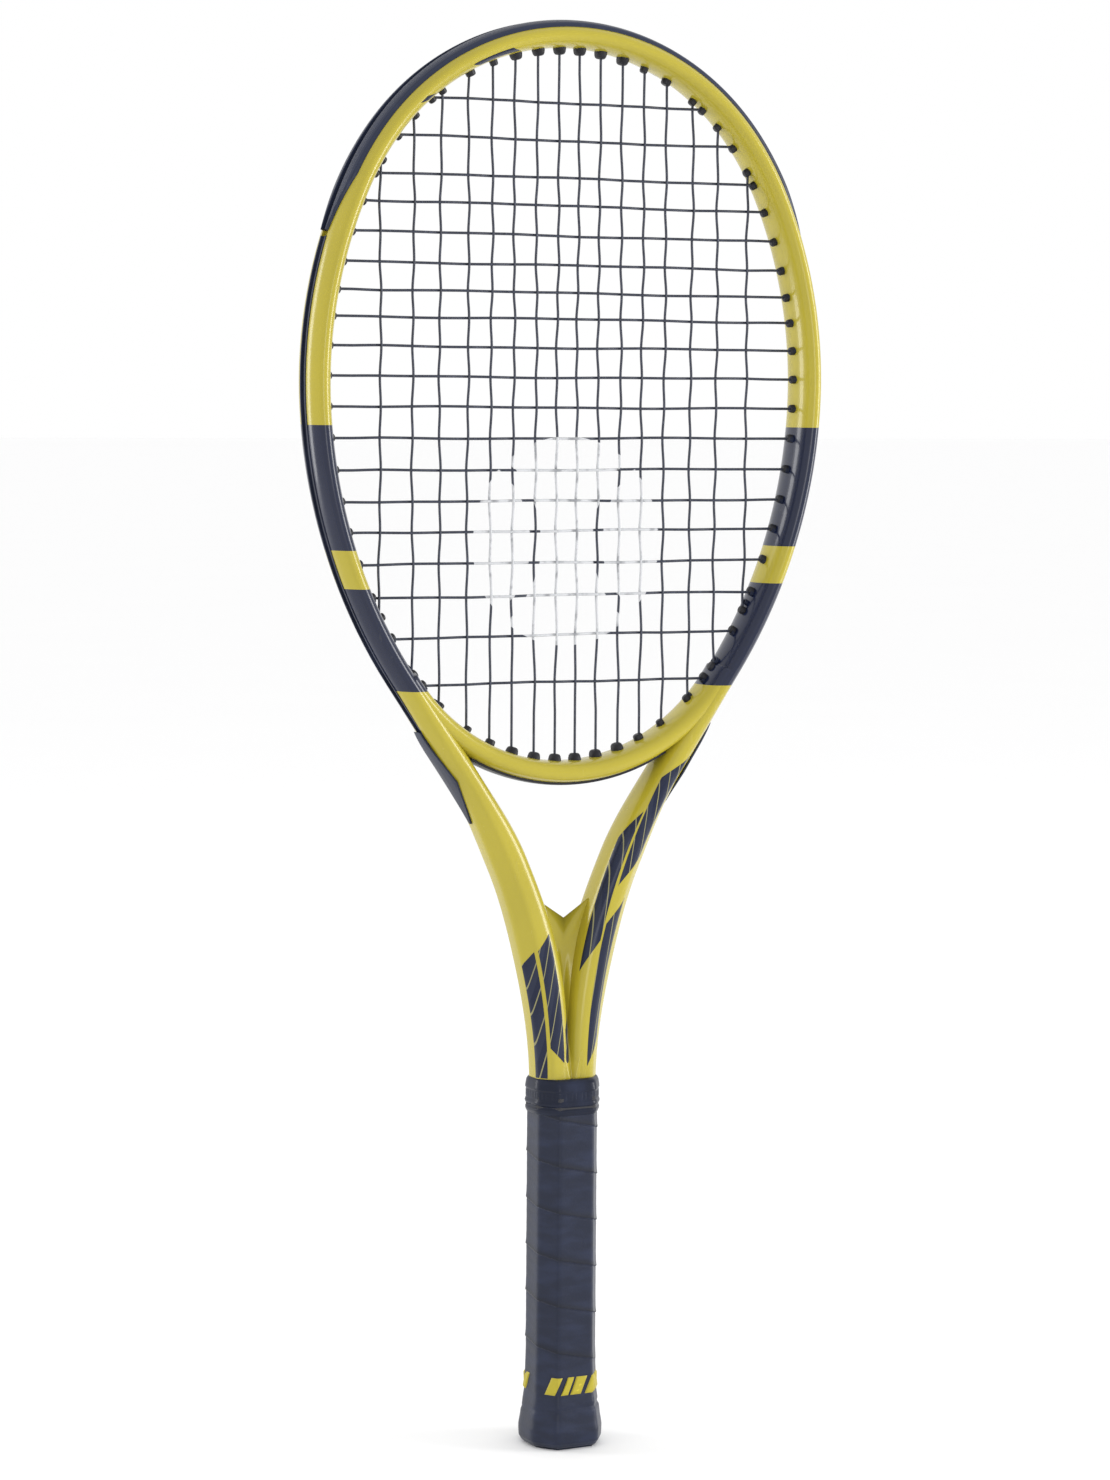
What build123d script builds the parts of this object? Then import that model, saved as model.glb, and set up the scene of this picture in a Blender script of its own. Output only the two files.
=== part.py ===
from build123d import *
import math
import os

# Tennis racket, standing on its butt end. Millimetres. Origin at the middle of the butt end face,
# +Z along the handle to the tip of the head, X across the strings, -Y the front face.

os.makedirs("parts", exist_ok=True)

# ---- Driving sizes: overall and hoop centreline, which starts at the crown and runs down one side ----
overall_length = 685.0        # butt face to the outside of the bumper guard
crown_radius = 120.5
crown_turn = 53.0             # degrees turned on each arc
shoulder_radius = 138.0
shoulder_turn = 12.0
flank_radius = 216.0
flank_turn = 28.0
lower_radius = 246.5
lower_turn = 31.5
throat_straight = 59.0
tube_offset = 7.7             # centre of each shaft tube from the racket's centre plane
head_inside_length = 338.5    # inside of the crown to the top of the throat bridge

# ---- Frame tube ----
hoop_half_width = 5.8         # radial half width of the tube in the hoop
crown_half_depth = 11.5       # beam 23 mm at the crown
flank_half_depth = 13.0       # beam 26 mm at the sides of the hoop
arm_half_depth = 11.5         # beam 23 mm at the throat and shaft
arm_top_half_width = 6.6
arm_half_width = 9.8
shaft_half_width = 8.2
grip_tube_half_width = 5.4    # the tubes are drawn down inside the handle
grip_tube_half_depth = 9.0
draw_down_lead = 0.3
draw_down_length = 4.0
wall = 1.5
web_half_depth = 10.4         # web that joins the two arms under the crotch
web_flare = 1.5               # the web widens this much between the handle and the collar's top
crotch_height = 241.0
crotch_radius = 3.0
fit_gap = 0.15                # clearance between bonded or clipped pieces

# ---- Throat bridge ----
bridge_radius = 101.8         # of its centreline
bridge_half_width = 5.3
bridge_half_depth = 11.2
bridge_half_angle = 56.0

# ---- String groove, grommets and guard ----
groove_half_width = 3.2
groove_depth = 2.0
groove_run_below_lower = 36.0  # along the throat straight
strip_base = 0.95
strip_lip = 0.9               # width of the lips beside the strings
strip_proud = 0.3
barrel_radius = 1.45
barrel_bore_radius = 0.9
tie_barrel_radius = 2.3
tie_bore_radius = 1.7
barrel_proud = 1.5            # stands out of the inside of the hoop
hole_gap = 0.15
bumper_thickness = 1.4
bumper_half_width = 7.8
bumper_run = 168.0            # along the centreline, each side of the crown
bumper_taper = 24.0           # height over which each end of the guard narrows to a point
bumper_tip_half_width = 3.4
tail_thickness = 0.9
tail_top_half_width = 3.0
tail_half_width = 7.5
tail_tip_half_width = 0.8
tail_widest_below = 50.0      # below the end of the hoop's lower arc
tail_length = 71.0
pad_strip_thickness = 0.5
pad_strip_half_width = 2.6
pad_thickness = 1.7
pad_half_length = 2.9
pad_half_width = 4.2
pad_strip_overrun = 10.0
bridge_strip_half_width = 5.5
bridge_strip_thickness = 1.1

# ---- Strings ----
string_diameter = 1.3
main_places = (5.4, 16.7, 28.6, 40.4, 52.6, 67.2, 81.2, 98.0)
padded_mains = 3              # mains each side of centre that pass through the cushioned pads
cross_from_crown = (25.9, 43.6, 61.2, 74.2, 88.3, 102.3, 115.3, 127.7, 141.3, 155.3,
                    169.6, 184.2, 199.2, 214.0, 228.3, 243.4, 259.0, 278.1, 300.7)
string_offset = 0.72          # mains sit behind the centre plane, crosses in front of it
string_bend = 1.1             # radius where a string turns at the frame
bend_lead = 0.8               # a string turns this far beyond its barrel
tie_split = 0.75              # half the distance between two strings that share a tie-off hole
knot_radius = 2.0
knot_length = 3.2
knot_tail = 5.0
knot_grip_gap = 0.05

# ---- Handle ----
handle_top = 172.0            # top of the moulded handle
foam_half_x = 14.0
foam_half_y = 13.8
flat_share_x = 0.40           # half length of the flat on a +-X face, as a share of the half depth
flat_share_y = 0.575          # the same for a +-Y face and the half width
foam_start = 5.0
tube_start = 8.0
tube_plug_length = 14.0
butt_half = 17.2              # half width of the butt cap at its flare
butt_flare_height = 9.0
butt_neck_height = 27.0
butt_cap_height = 42.0
butt_neck_wall = 0.75
butt_window_half_x = 9.0
butt_window_half_y = 6.5
plug_flange = 1.2
grip_thickness = 2.0
grip_start = 1.5
collar_height = 17.5
collar_half_x = 17.7
collar_half_y = 17.2
collar_overlap = 9.0          # length of the collar that covers the grip
tape_thickness = 0.3
staple_wire = 1.0
staple_crown = 6.5
staple_leg = 5.0
staple_spread = 4.4           # from the middle of the flat to the middle of each staple
tack_head_radius = 2.5
tack_head_thickness = 0.7
tack_length = 6.0
band_height = 31.0            # middle of the raised band above the butt
band_block_height = 9.0
band_block_width = 5.0
band_proud = 0.5

# ---- Hoop centreline: segments of (start x, start z, heading, radius or 0, length, turn sign) ----
crown_z = overall_length - bumper_thickness - hoop_half_width
lean = crown_turn + shoulder_turn + flank_turn + lower_turn - 90.0


def build_path():
    arcs = [(crown_radius, crown_turn), (shoulder_radius, shoulder_turn),
            (flank_radius, flank_turn), (lower_radius, lower_turn)]
    x, z, heading, start = 0.0, crown_z, 0.0, 0.0
    segments = []
    for radius, turn in arcs:
        length = radius * math.radians(turn)
        segments.append((start, length, x, z, heading, radius))
        x += radius * (math.sin(math.radians(heading + turn)) - math.sin(math.radians(heading)))
        z += radius * (math.cos(math.radians(heading + turn)) - math.cos(math.radians(heading)))
        heading += turn
        start += length
    segments.append((start, throat_straight, x, z, heading, 0.0))
    x += throat_straight * math.cos(math.radians(heading))
    z -= throat_straight * math.sin(math.radians(heading))
    start += throat_straight
    arm_radius = (x - tube_offset) / (1 - math.cos(math.radians(lean)))
    segments.append((start, arm_radius * math.radians(lean), x, z, heading, -arm_radius))
    z -= arm_radius * math.sin(math.radians(lean))
    start += arm_radius * math.radians(lean)
    segments.append((start, z - tube_start, tube_offset, z, 90.0, 0.0))
    return segments


path = build_path()
lower_end = path[4][0]
straight_end = path[5][0]
arm_end = path[6][0]
path_end = arm_end + path[6][1]


def at(s):
    """Point and heading on the centreline of the +X side, s along it from the crown."""
    seg = path[0]
    for candidate in path:
        if s >= candidate[0]:
            seg = candidate
    start, length, x, z, heading, radius = seg
    if radius == 0.0:
        step = s - start
        return (x + step * math.cos(math.radians(heading)),
                z - step * math.sin(math.radians(heading)), heading)
    new = heading + math.degrees((s - start) / radius)
    x += radius * (math.sin(math.radians(new)) - math.sin(math.radians(heading)))
    z += radius * (math.cos(math.radians(new)) - math.cos(math.radians(heading)))
    return x, z, new


def offset_at(s, off):
    """Point at distance off outside the centreline."""
    x, z, heading = at(s)
    return x + off * math.sin(math.radians(heading)), z + off * math.cos(math.radians(heading))


def find(test, low, high):
    """Place on the centreline where test changes from true to false."""
    for _ in range(50):
        middle = (low + high) / 2
        if test(middle):
            low = middle
        else:
            high = middle
    return low


# ---- Tube section along the path: (s, half width, half depth, roundness) ----
arm_length = arm_end - straight_end
flank_middle = path[2][0] + 0.75 * path[2][1]
draw_start = max(arm_end + draw_down_lead, path_end - (handle_top + draw_down_length - tube_start))
draw_end = draw_start + draw_down_length
section_stations = [
    (0.0, hoop_half_width, crown_half_depth, 2.1),
    (flank_middle, hoop_half_width, flank_half_depth, 2.1),
    (lower_end, hoop_half_width, arm_half_depth + 0.4, 2.1),
    (straight_end, arm_top_half_width, arm_half_depth, 2.5),
    (straight_end + 0.3 * arm_length, (arm_top_half_width + arm_half_width) / 2 + 0.6, arm_half_depth, 2.9),
    (straight_end + 0.6 * arm_length, arm_half_width, arm_half_depth, 3.0),
    (arm_end, shaft_half_width, arm_half_depth, 3.0),
    (draw_start, shaft_half_width, arm_half_depth, 3.0),
    (draw_end, grip_tube_half_width, grip_tube_half_depth, 3.0),
    (path_end, grip_tube_half_width, grip_tube_half_depth, 3.0),
]


def section_at(s):
    """Half width, half depth and roundness, eased between the stations."""
    for (s0, *low), (s1, *high) in zip(section_stations, section_stations[1:]):
        if s <= s1:
            t = max(0.0, (s - s0) / (s1 - s0))
            t = t * t * (3 - 2 * t)
            return [u + (v - u) * t for u, v in zip(low, high)]
    return section_stations[-1][1:]


def oval(half_x, half_y, roundness, count=16):
    """Points of a closed superellipse."""
    points = []
    for i in range(count):
        angle = 2 * math.pi * i / count
        c, s = math.cos(angle), math.sin(angle)
        scale = (abs(c) ** roundness + abs(s) ** roundness) ** (-1 / roundness)
        points.append((half_x * scale * c, half_y * scale * s))
    return points


def frame_plane(s):
    """Plane across the tube: local x outwards, local y to the front."""
    x, z, heading = at(s)
    c, d = math.cos(math.radians(heading)), math.sin(math.radians(heading))
    return Plane(origin=(x, 0, z), x_dir=(d, 0, c), z_dir=(c, 0, -d))


def tube(grow, stop=path_end):
    """Both sides of the hairpin tube with its section grown by a distance."""
    spans = [(0.0, lower_end, 10), (lower_end, arm_end, 9), (arm_end, draw_start, 1),
             (draw_start, draw_end, 3), (draw_end, stop, 1)]
    with BuildPart() as side:
        for start, end, count in spans:
            with BuildPart(mode=Mode.PRIVATE) as span:
                for i in range(count + 1):
                    s = start + (end - start) * i / count
                    half_width, half_depth, roundness = section_at(s)
                    with BuildSketch(frame_plane(s)):
                        with BuildLine():
                            Spline(*oval(half_width + grow, half_depth + grow, roundness), periodic=True)
                        make_face()
                loft()
            add(span.part)
        mirror(about=Plane.YZ)
    return side.part


def band(s0, s1, off0, off1, half_y):
    """Solid that follows the centreline on the +X side between two offsets, half_y each way."""
    edges = sorted({s0, s1, *[seg[0] for seg in path if s0 < seg[0] < s1]})
    with BuildPart() as piece:
        with BuildSketch(Plane.XZ):
            with BuildLine():
                for off in (off0, off1):
                    for a, b in zip(edges, edges[1:]):
                        if at(a)[2] == at(b)[2]:
                            Line(offset_at(a, off), offset_at(b, off))
                        else:
                            ThreePointArc(offset_at(a, off), offset_at((a + b) / 2, off), offset_at(b, off))
                Line(offset_at(s0, off0), offset_at(s0, off1))
                Line(offset_at(s1, off0), offset_at(s1, off1))
            make_face()
        extrude(amount=half_y, both=True)
    return piece.part


def both_sides(solid):
    """A piece of the +X side together with its mirror image."""
    with BuildPart() as pair:
        add(solid)
        mirror(about=Plane.YZ)
    return pair.part


# ---- Throat bridge: an arc that closes the hoop between the arms ----
crown_inside_z = crown_z - hoop_half_width
bridge_centre_z = crown_inside_z - head_inside_length + bridge_radius - bridge_half_width


def bridge_point(angle, off=0.0):
    """Point of the bridge, angle in degrees from its lowest point towards +X, off below its centreline."""
    r = bridge_radius + off
    return r * math.sin(math.radians(angle)), bridge_centre_z - r * math.cos(math.radians(angle))


def bridge_sweep(half_angle, profile_points):
    """Closed outline carried round the bridge; local x outwards, away from the strings."""
    with BuildPart() as piece:
        with BuildLine(Plane.XZ) as route:
            ThreePointArc(bridge_point(-half_angle), bridge_point(0), bridge_point(half_angle))
        x, z = bridge_point(-half_angle)
        outwards = (x / bridge_radius, 0, (z - bridge_centre_z) / bridge_radius)
        with BuildSketch(Plane(origin=(x, 0, z), x_dir=outwards, z_dir=route.line % 0)):
            with BuildLine():
                Spline(*profile_points, periodic=True)
            make_face()
        sweep(path=route.line)
    return piece.part


def bridge_bar(grow, half_angle=bridge_half_angle):
    return bridge_sweep(half_angle, oval(bridge_half_width + grow, bridge_half_depth + grow, 2.3))


def bridge_band(angle0, angle1, off0, off1, half_y):
    """Solid along the bridge between two angles and two offsets."""
    middle = (angle0 + angle1) / 2
    with BuildPart() as piece:
        with BuildSketch(Plane.XZ):
            with BuildLine():
                for off in (off0, off1):
                    ThreePointArc(bridge_point(angle0, off), bridge_point(middle, off),
                                  bridge_point(angle1, off))
                for angle in (angle0, angle1):
                    Line(bridge_point(angle, off0), bridge_point(angle, off1))
            make_face()
        extrude(amount=half_y, both=True)
    return piece.part


# ---- String holes: (side, inner tip, outward direction, loop point, place, carrier, tie) ----
string_radius = string_diameter / 2
groove_floor = hoop_half_width - groove_depth
loop_off = groove_floor + fit_gap + strip_base + string_radius + 0.12
bridge_loop_off = bridge_half_width + fit_gap + bridge_strip_thickness + string_radius + 0.3
bridge_bend_radius = bridge_radius - bridge_half_width - barrel_proud - bend_lead
bridge_hole_limit = bridge_half_angle - 1.5
bridge_open_limit = 37.0      # beyond this angle the arms lie under the bridge
bridge_fan = 27.0             # holes lean back towards the middle beyond this angle
groove_end = lower_end + groove_run_below_lower


def tube_hole(s):
    """Hole square to the tube at s."""
    heading = math.radians(at(s)[2])
    return {"bend": offset_at(s, bend_off), "out": (math.sin(heading), math.cos(heading)),
            "loop": offset_at(s, loop_off), "floor": offset_at(s, groove_floor), "s": s}


def crossing(start, out, off):
    """Where a line from inside the hoop crosses an offset of the tube: the point and its place."""
    def inside(s):
        x, z = offset_at(s, off)
        return (z - start[1]) * out[0] - (x - start[0]) * out[1] > 0
    s = find(inside, path[3][0], straight_end)
    return offset_at(s, off), s


def bridge_crossing(start, out, off):
    """Where a line crosses the circle at an offset of the bridge."""
    px, pz = start[0], start[1] - bridge_centre_z
    along = px * out[0] + pz * out[1]
    reach = math.sqrt(along ** 2 + (bridge_radius + off) ** 2 - px ** 2 - pz ** 2) - along
    return start[0] + reach * out[0], start[1] + reach * out[1]


def bridge_hole(angle):
    """Hole through the bridge; further out it goes on through the arm to the groove."""
    bend = (bridge_bend_radius * math.sin(math.radians(angle)),
            bridge_centre_z - bridge_bend_radius * math.cos(math.radians(angle)))
    if angle <= bridge_open_limit:
        lean_angle = math.radians(angle * (1 - angle / bridge_fan))
        out = (math.sin(lean_angle), -math.cos(lean_angle))
        return {"bend": bend, "out": out, "s": None, "loop": bridge_crossing(bend, out, bridge_loop_off),
                "floor": bridge_crossing(bend, out, bridge_half_width)}
    out = (math.sin(math.radians(angle)), -math.cos(math.radians(angle)))
    loop, s = crossing(bend, out, loop_off)
    return {"bend": bend, "out": out, "s": s, "loop": loop, "floor": crossing(bend, out, groove_floor)[0]}


bend_off = -(hoop_half_width + barrel_proud + bend_lead)


def bridge_angle(share):
    """Angle on the circle where strings bend, or None past the end of the bridge."""
    angle = math.degrees(math.asin(share)) if 0 <= share < 1 else 90.0
    return angle if angle < bridge_hole_limit else None


def main_hole(x, top):
    if top:
        return tube_hole(find(lambda s: offset_at(s, bend_off)[0] < x, 0.0, path[2][0]))
    angle = bridge_angle(x / bridge_bend_radius)
    if angle is not None:
        return bridge_hole(angle)
    return tube_hole(find(lambda s: offset_at(s, bend_off)[0] > x, path[2][0] + path[2][1], straight_end))


def cross_hole(z):
    rise = (bridge_centre_z - z) / bridge_bend_radius
    angle = bridge_angle(math.sqrt(max(0.0, 1 - rise ** 2))) if rise > 0 else None
    if angle is not None:
        return bridge_hole(angle)
    return tube_hole(find(lambda s: offset_at(s, bend_off)[1] > z, 0.0, straight_end))


cross_heights = [crown_inside_z - drop for drop in cross_from_crown]
holes = []
for side in (-1, 1):
    for x in main_places:
        for top in (True, False):
            hole = main_hole(x, top)
            hole.update(kind="main", side=side, place=x, top=top)
            holes.append(hole)
    for z in cross_heights:
        hole = cross_hole(z)
        hole.update(kind="cross", side=side, place=z, top=None)
        holes.append(hole)

# Each string's two ends come back in through a tie-off hole that a main already uses: (side, main, at
# the top?). The main string's ends lie beside that main along the hoop, the cross string's in front of it.
main_ties = [(-1, main_places[-2], False), (1, main_places[-2], False)]
cross_ties = [(1, main_places[-4], True), (-1, main_places[-3], False)]
for hole in holes:
    spot = (hole["side"], hole["place"], hole["top"])
    hole["tie"] = hole["kind"] == "main" and spot in main_ties + cross_ties
    hole["y"] = string_offset if hole["kind"] == "main" else -string_offset
    if hole["kind"] == "main" and spot in cross_ties:
        hole["y"] = 0.0
    if hole["s"] is None:
        hole["carrier"] = "throat"
    elif hole["s"] < bumper_run:
        hole["carrier"] = "bumper"
    else:
        hole["carrier"] = "strip"


def pick(kind, side, place, top=None):
    return next(h for h in holes if (h["kind"], h["side"], h["place"], h["top"]) == (kind, side, place, top))


def hole_rod(hole, radius, before, beyond):
    """Rod along a string hole, from before the inner end of its barrel to beyond the groove floor."""
    (x0, z0), (x1, z1), (u, w) = hole["bend"], hole["floor"], hole["out"]
    start = bend_lead - before
    length = math.hypot(x1 - x0, z1 - z0) - start + beyond
    side = hole["side"]
    plane = Plane(origin=(side * (x0 + start * u), hole["y"], z0 + start * w), z_dir=(side * u, 0, w))
    with BuildPart() as rod:
        with BuildSketch(plane):
            Circle(radius)
        extrude(amount=length)
    return rod.part


def bore_radius(hole, plain, tied):
    return tied if hole["tie"] else plain


def rods(chosen, plain, tied, before, beyond):
    return [hole_rod(hole, bore_radius(hole, plain, tied), before, beyond) for hole in chosen]


hole_cutters = rods(holes, barrel_radius + hole_gap, tie_barrel_radius + hole_gap, 2.0, 6.0)
bore_cutters = rods(holes, barrel_bore_radius, tie_bore_radius, 3.0, 6.0)


def barrels(carrier, side=None):
    """Grommet barrels of one piece; they start inside its base in the groove."""
    chosen = [h for h in holes if h["carrier"] == carrier and side in (None, h["side"])]
    return rods(chosen, barrel_radius, tie_barrel_radius, 0.0, fit_gap + strip_base / 2)


# ---- Frame tube ----
outer_tube = tube(0.0)
fitted_tube = tube(fit_gap)

with BuildPart() as frame_tube:
    add(outer_tube)
    with BuildSketch(Plane.XZ):
        with BuildLine():
            low_z = handle_top + fit_gap
            crotch_s = find(lambda s: at(s)[1] > crotch_height, straight_end, arm_end)
            reach = at(crotch_s)[0] - arm_half_width / 2
            top_z = crotch_height + crotch_radius
            Polyline((-reach, top_z), (-tube_offset, low_z), (tube_offset, low_z), (reach, top_z))
            ThreePointArc((reach, top_z), (0, crotch_height - crotch_radius), (-reach, top_z))
        make_face()
    extrude(amount=web_half_depth, both=True)
    add(tube(-wall, path_end + 1.0), mode=Mode.SUBTRACT)
    add(both_sides(band(0.0, groove_end, groove_floor, hoop_half_width + 6.0, groove_half_width)),
        mode=Mode.SUBTRACT)
    add(hole_cutters, mode=Mode.SUBTRACT)
frame_tube.part.label = "frame_tube"

# ---- Throat bridge: bonded between the arms, its ends cut to the tube ----
with BuildPart() as throat_bridge:
    with BuildPart(mode=Mode.PRIVATE) as bar:
        add(bridge_bar(0.0))
        add(fitted_tube, mode=Mode.SUBTRACT)
    add(bar.part.solids().sort_by(SortBy.VOLUME)[-1])
    add(hole_cutters, mode=Mode.SUBTRACT)
throat_bridge.part.label = "throat_bridge"


def groove_strip(s0, s1):
    """Base and lips of a strip in the groove of the +X side, with the string channel between the lips."""
    floor = groove_floor + fit_gap
    with BuildPart() as strip:
        add(band(s0, s1, floor, hoop_half_width + strip_proud, groove_half_width - fit_gap))
        add(band(s0 - 1.0, s1 + 1.0, floor + strip_base, hoop_half_width + 5.0,
                 groove_half_width - fit_gap - strip_lip), mode=Mode.SUBTRACT)
    return strip.part


# ---- Bumper guard: a shell over the outside of the crown, a base in the groove and its barrels ----
with BuildPart() as bumper_guard:
    with BuildPart(mode=Mode.PRIVATE) as guard_side:
        add(tube(bumper_thickness))
        add(band(-0.01, bumper_run, 1.0, hoop_half_width + 6.0, bumper_half_width), mode=Mode.INTERSECT)
        add(fitted_tube, mode=Mode.SUBTRACT)
        add(band(-0.01, bumper_run, groove_floor + fit_gap + strip_base, hoop_half_width + 6.0,
                 groove_half_width - fit_gap - strip_lip), mode=Mode.SUBTRACT)
        add(groove_strip(-0.01, bumper_run))
        with BuildSketch(Plane.YZ.offset(hoop_half_width)):
            with BuildLine():
                tip_z = at(bumper_run)[1]
                Polyline((bumper_tip_half_width, tip_z), (bumper_half_width + 1.0, tip_z + bumper_taper),
                         (bumper_half_width + 5.0, tip_z + bumper_taper),
                         (bumper_half_width + 5.0, tip_z - 10.0),
                         (bumper_tip_half_width, tip_z - 10.0), close=True)
            make_face()
            mirror(about=Plane.XZ)
        extrude(amount=overall_length, mode=Mode.SUBTRACT)
    add(guard_side.part)
    mirror(about=Plane.YZ)
    add(barrels("bumper"))
    add(bore_cutters, mode=Mode.SUBTRACT)
bumper_guard.part.label = "bumper_guard"

# ---- Side grommet strips, each with a tail pad on the outside of the arm ----
strip_start = bumper_run + fit_gap * 2
tail_start = groove_end - 4.0
lower_end_z = at(lower_end)[1]
tail_start_z = at(tail_start)[1]
with BuildPart() as strip_body:
    with BuildPart(mode=Mode.PRIVATE) as tail:
        add(tube(tail_thickness))
        add(fitted_tube, mode=Mode.SUBTRACT)
        with BuildSketch(Plane.YZ.offset(tube_offset + arm_half_width)):
            with BuildLine():
                widest_z = lower_end_z - tail_widest_below
                tip_z = lower_end_z - tail_length
                Polyline((-tail_top_half_width, tail_start_z), (-tail_half_width, widest_z),
                         (-tail_tip_half_width, tip_z), (tail_tip_half_width, tip_z),
                         (tail_half_width, widest_z), (tail_top_half_width, tail_start_z), close=True)
            make_face()
        extrude(amount=overall_length, mode=Mode.INTERSECT)
        add(band(path[3][0], arm_end, -30.0, 1.0, 30.0), mode=Mode.SUBTRACT)
    add(groove_strip(strip_start, groove_end - fit_gap))
    add(band(tail_start, groove_end - fit_gap, groove_floor + fit_gap,
             section_at(tail_start)[0] + tail_thickness * 0.7, tail_top_half_width - fit_gap))
    add(tail.part.solids().filter_by(lambda solid: solid.center().X > 0).sort_by(SortBy.VOLUME)[-1])

grommet_strips = {}
for side, name in ((-1, "grommet_strip_left"), (1, "grommet_strip_right")):
    with BuildPart() as strip:
        add(strip_body.part if side > 0 else mirror(strip_body.part, about=Plane.YZ))
        add(barrels("strip", side))
        add([rod for rod, h in zip(bore_cutters, holes) if h["side"] == side], mode=Mode.SUBTRACT)
    strip.part.label = name
    grommet_strips[name] = strip.part

# ---- Throat grommet strip on the underside of the bridge ----
throat_mains = [h for h in holes if h["carrier"] == "throat"]
throat_strip_reach = max(h["floor"][0] for h in throat_mains) + barrel_radius + 0.6
throat_strip_angle = math.degrees(math.asin(throat_strip_reach / (bridge_radius + bridge_half_width)))
with BuildPart() as throat_grommet_strip:
    add(bridge_bar(fit_gap + bridge_strip_thickness))
    add(bridge_band(-throat_strip_angle, throat_strip_angle, 1.0, 30.0, bridge_strip_half_width),
        mode=Mode.INTERSECT)
    add(bridge_bar(fit_gap), mode=Mode.SUBTRACT)
    add(fitted_tube, mode=Mode.SUBTRACT)
    add(rods(throat_mains, barrel_radius, tie_barrel_radius, 0.0, fit_gap + bridge_strip_thickness / 2))
    add(bore_cutters, mode=Mode.SUBTRACT)
throat_grommet_strip.part.label = "throat_grommet_strip"

# ---- Cushioned pad strips inside the crown and on the bridge ----
padded_places = main_places[:padded_mains]
crown_pads = [pick("main", 1, x, True)["s"] for x in padded_places]
with BuildPart() as head_pad_strip:
    with BuildPart(mode=Mode.PRIVATE) as strip_side:
        add(tube(fit_gap + pad_strip_thickness))
        add(band(-0.01, crown_pads[-1] + pad_strip_overrun, -hoop_half_width - 4.0, -1.0,
                 pad_strip_half_width), mode=Mode.INTERSECT)
    with BuildPart(mode=Mode.PRIVATE) as pads:
        add(tube(pad_thickness))
        add([band(s - pad_half_length, s + pad_half_length, -hoop_half_width - 4.0, -1.0, pad_half_width)
             for s in crown_pads], mode=Mode.INTERSECT)
    with BuildPart(mode=Mode.PRIVATE) as one_side:
        add(strip_side.part)
        add(pads.part)
        add(fitted_tube, mode=Mode.SUBTRACT)
    add(one_side.part)
    mirror(about=Plane.YZ)
    add(hole_cutters, mode=Mode.SUBTRACT)
head_pad_strip.part.label = "head_pad_strip"

bridge_pads = [math.degrees(math.asin(x / bridge_bend_radius)) for x in padded_places]
pad_half_angle = math.degrees(pad_half_length / (bridge_radius - bridge_half_width))
pad_overrun_angle = math.degrees(pad_strip_overrun / (bridge_radius - bridge_half_width))
throat_strip_end = bridge_pads[-1] + pad_overrun_angle
with BuildPart() as throat_pad_strip:
    with BuildPart(mode=Mode.PRIVATE) as strip_bar:
        add(bridge_bar(fit_gap + pad_strip_thickness))
        add(bridge_band(-throat_strip_end, throat_strip_end, -30.0, -1.0, pad_strip_half_width),
            mode=Mode.INTERSECT)
    with BuildPart(mode=Mode.PRIVATE) as pads:
        add(bridge_bar(pad_thickness))
        add([bridge_band(side * angle - pad_half_angle, side * angle + pad_half_angle, -30.0, -1.0,
                         pad_half_width) for side in (-1, 1) for angle in bridge_pads], mode=Mode.INTERSECT)
    add(strip_bar.part)
    add(pads.part)
    add(bridge_bar(fit_gap), mode=Mode.SUBTRACT)
    add(hole_cutters, mode=Mode.SUBTRACT)
throat_pad_strip.part.label = "throat_pad_strip"

# ---- Strings: one string makes all the mains and one all the crosses ----


def spot_3d(hole, key, y, shift=0.0):
    """Bend or loop point of a hole, moved by shift along the hoop."""
    (x, z), (u, w) = hole[key], hole["out"]
    return hole["side"] * (x + shift * w), y, z - shift * u


def groove_points(first, last, y):
    """Points between two holes so that the string follows the curve of the groove."""
    if first["s"] is None or last["s"] is None:
        return []
    if abs(at(first["s"])[2] - at(last["s"])[2]) < 2.0:
        return []
    count = math.ceil(abs(last["s"] - first["s"]) / 9.0)
    points = []
    for i in range(1, count):
        x, z = offset_at(first["s"] + (last["s"] - first["s"]) * i / count, loop_off)
        points.append((first["side"] * x, y, z))
    return points


def turn_at(a, b, c):
    before, after = Vector(*b) - Vector(*a), Vector(*c) - Vector(*b)
    return before.get_angle(after)


def string_solid(points):
    """Round string through the points, each corner an arc; points that hardly turn are passed straight."""
    kept = [points[0]]
    for here, following in zip(points[1:], points[2:]):
        if turn_at(kept[-1], here, following) > 1.0:
            kept.append(here)
    kept.append(points[-1])
    with BuildPart() as piece:
        with BuildLine() as route:
            FilletPolyline(*kept, radius=string_bend)
        with BuildSketch(Plane(origin=route.line @ 0, z_dir=route.line % 0)):
            Circle(string_radius)
        sweep(path=route.line)
    return piece.part


def knot(x, y, z, up):
    """Knot about a main, with its short tail and just room for the main that it grips."""
    with BuildPart() as piece:
        with BuildSketch(Plane(origin=(x, y, z))):
            Circle(knot_radius)
        extrude(amount=knot_length / 2, both=True)
        fillet(piece.edges(), radius=knot_length * 0.28)
        with BuildSketch(Plane(origin=(x, y - knot_radius * 0.55, z), z_dir=(-0.35, -0.2, up))):
            Circle(string_radius * 0.9)
        extrude(amount=knot_tail)
        with BuildSketch(Plane(origin=(x, y, z - 3 * knot_length))):
            Circle(string_radius + knot_grip_gap)
        extrude(amount=6 * knot_length, mode=Mode.SUBTRACT)
    return piece.part


signed_mains = [(-1, x) for x in reversed(main_places)] + [(1, x) for x in main_places]


def main_shift(hole):
    """A main in one of its own string's tie-off holes lies to the far side of it."""
    return tie_split if (hole["side"], hole["place"], hole["top"]) in main_ties else 0.0


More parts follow.
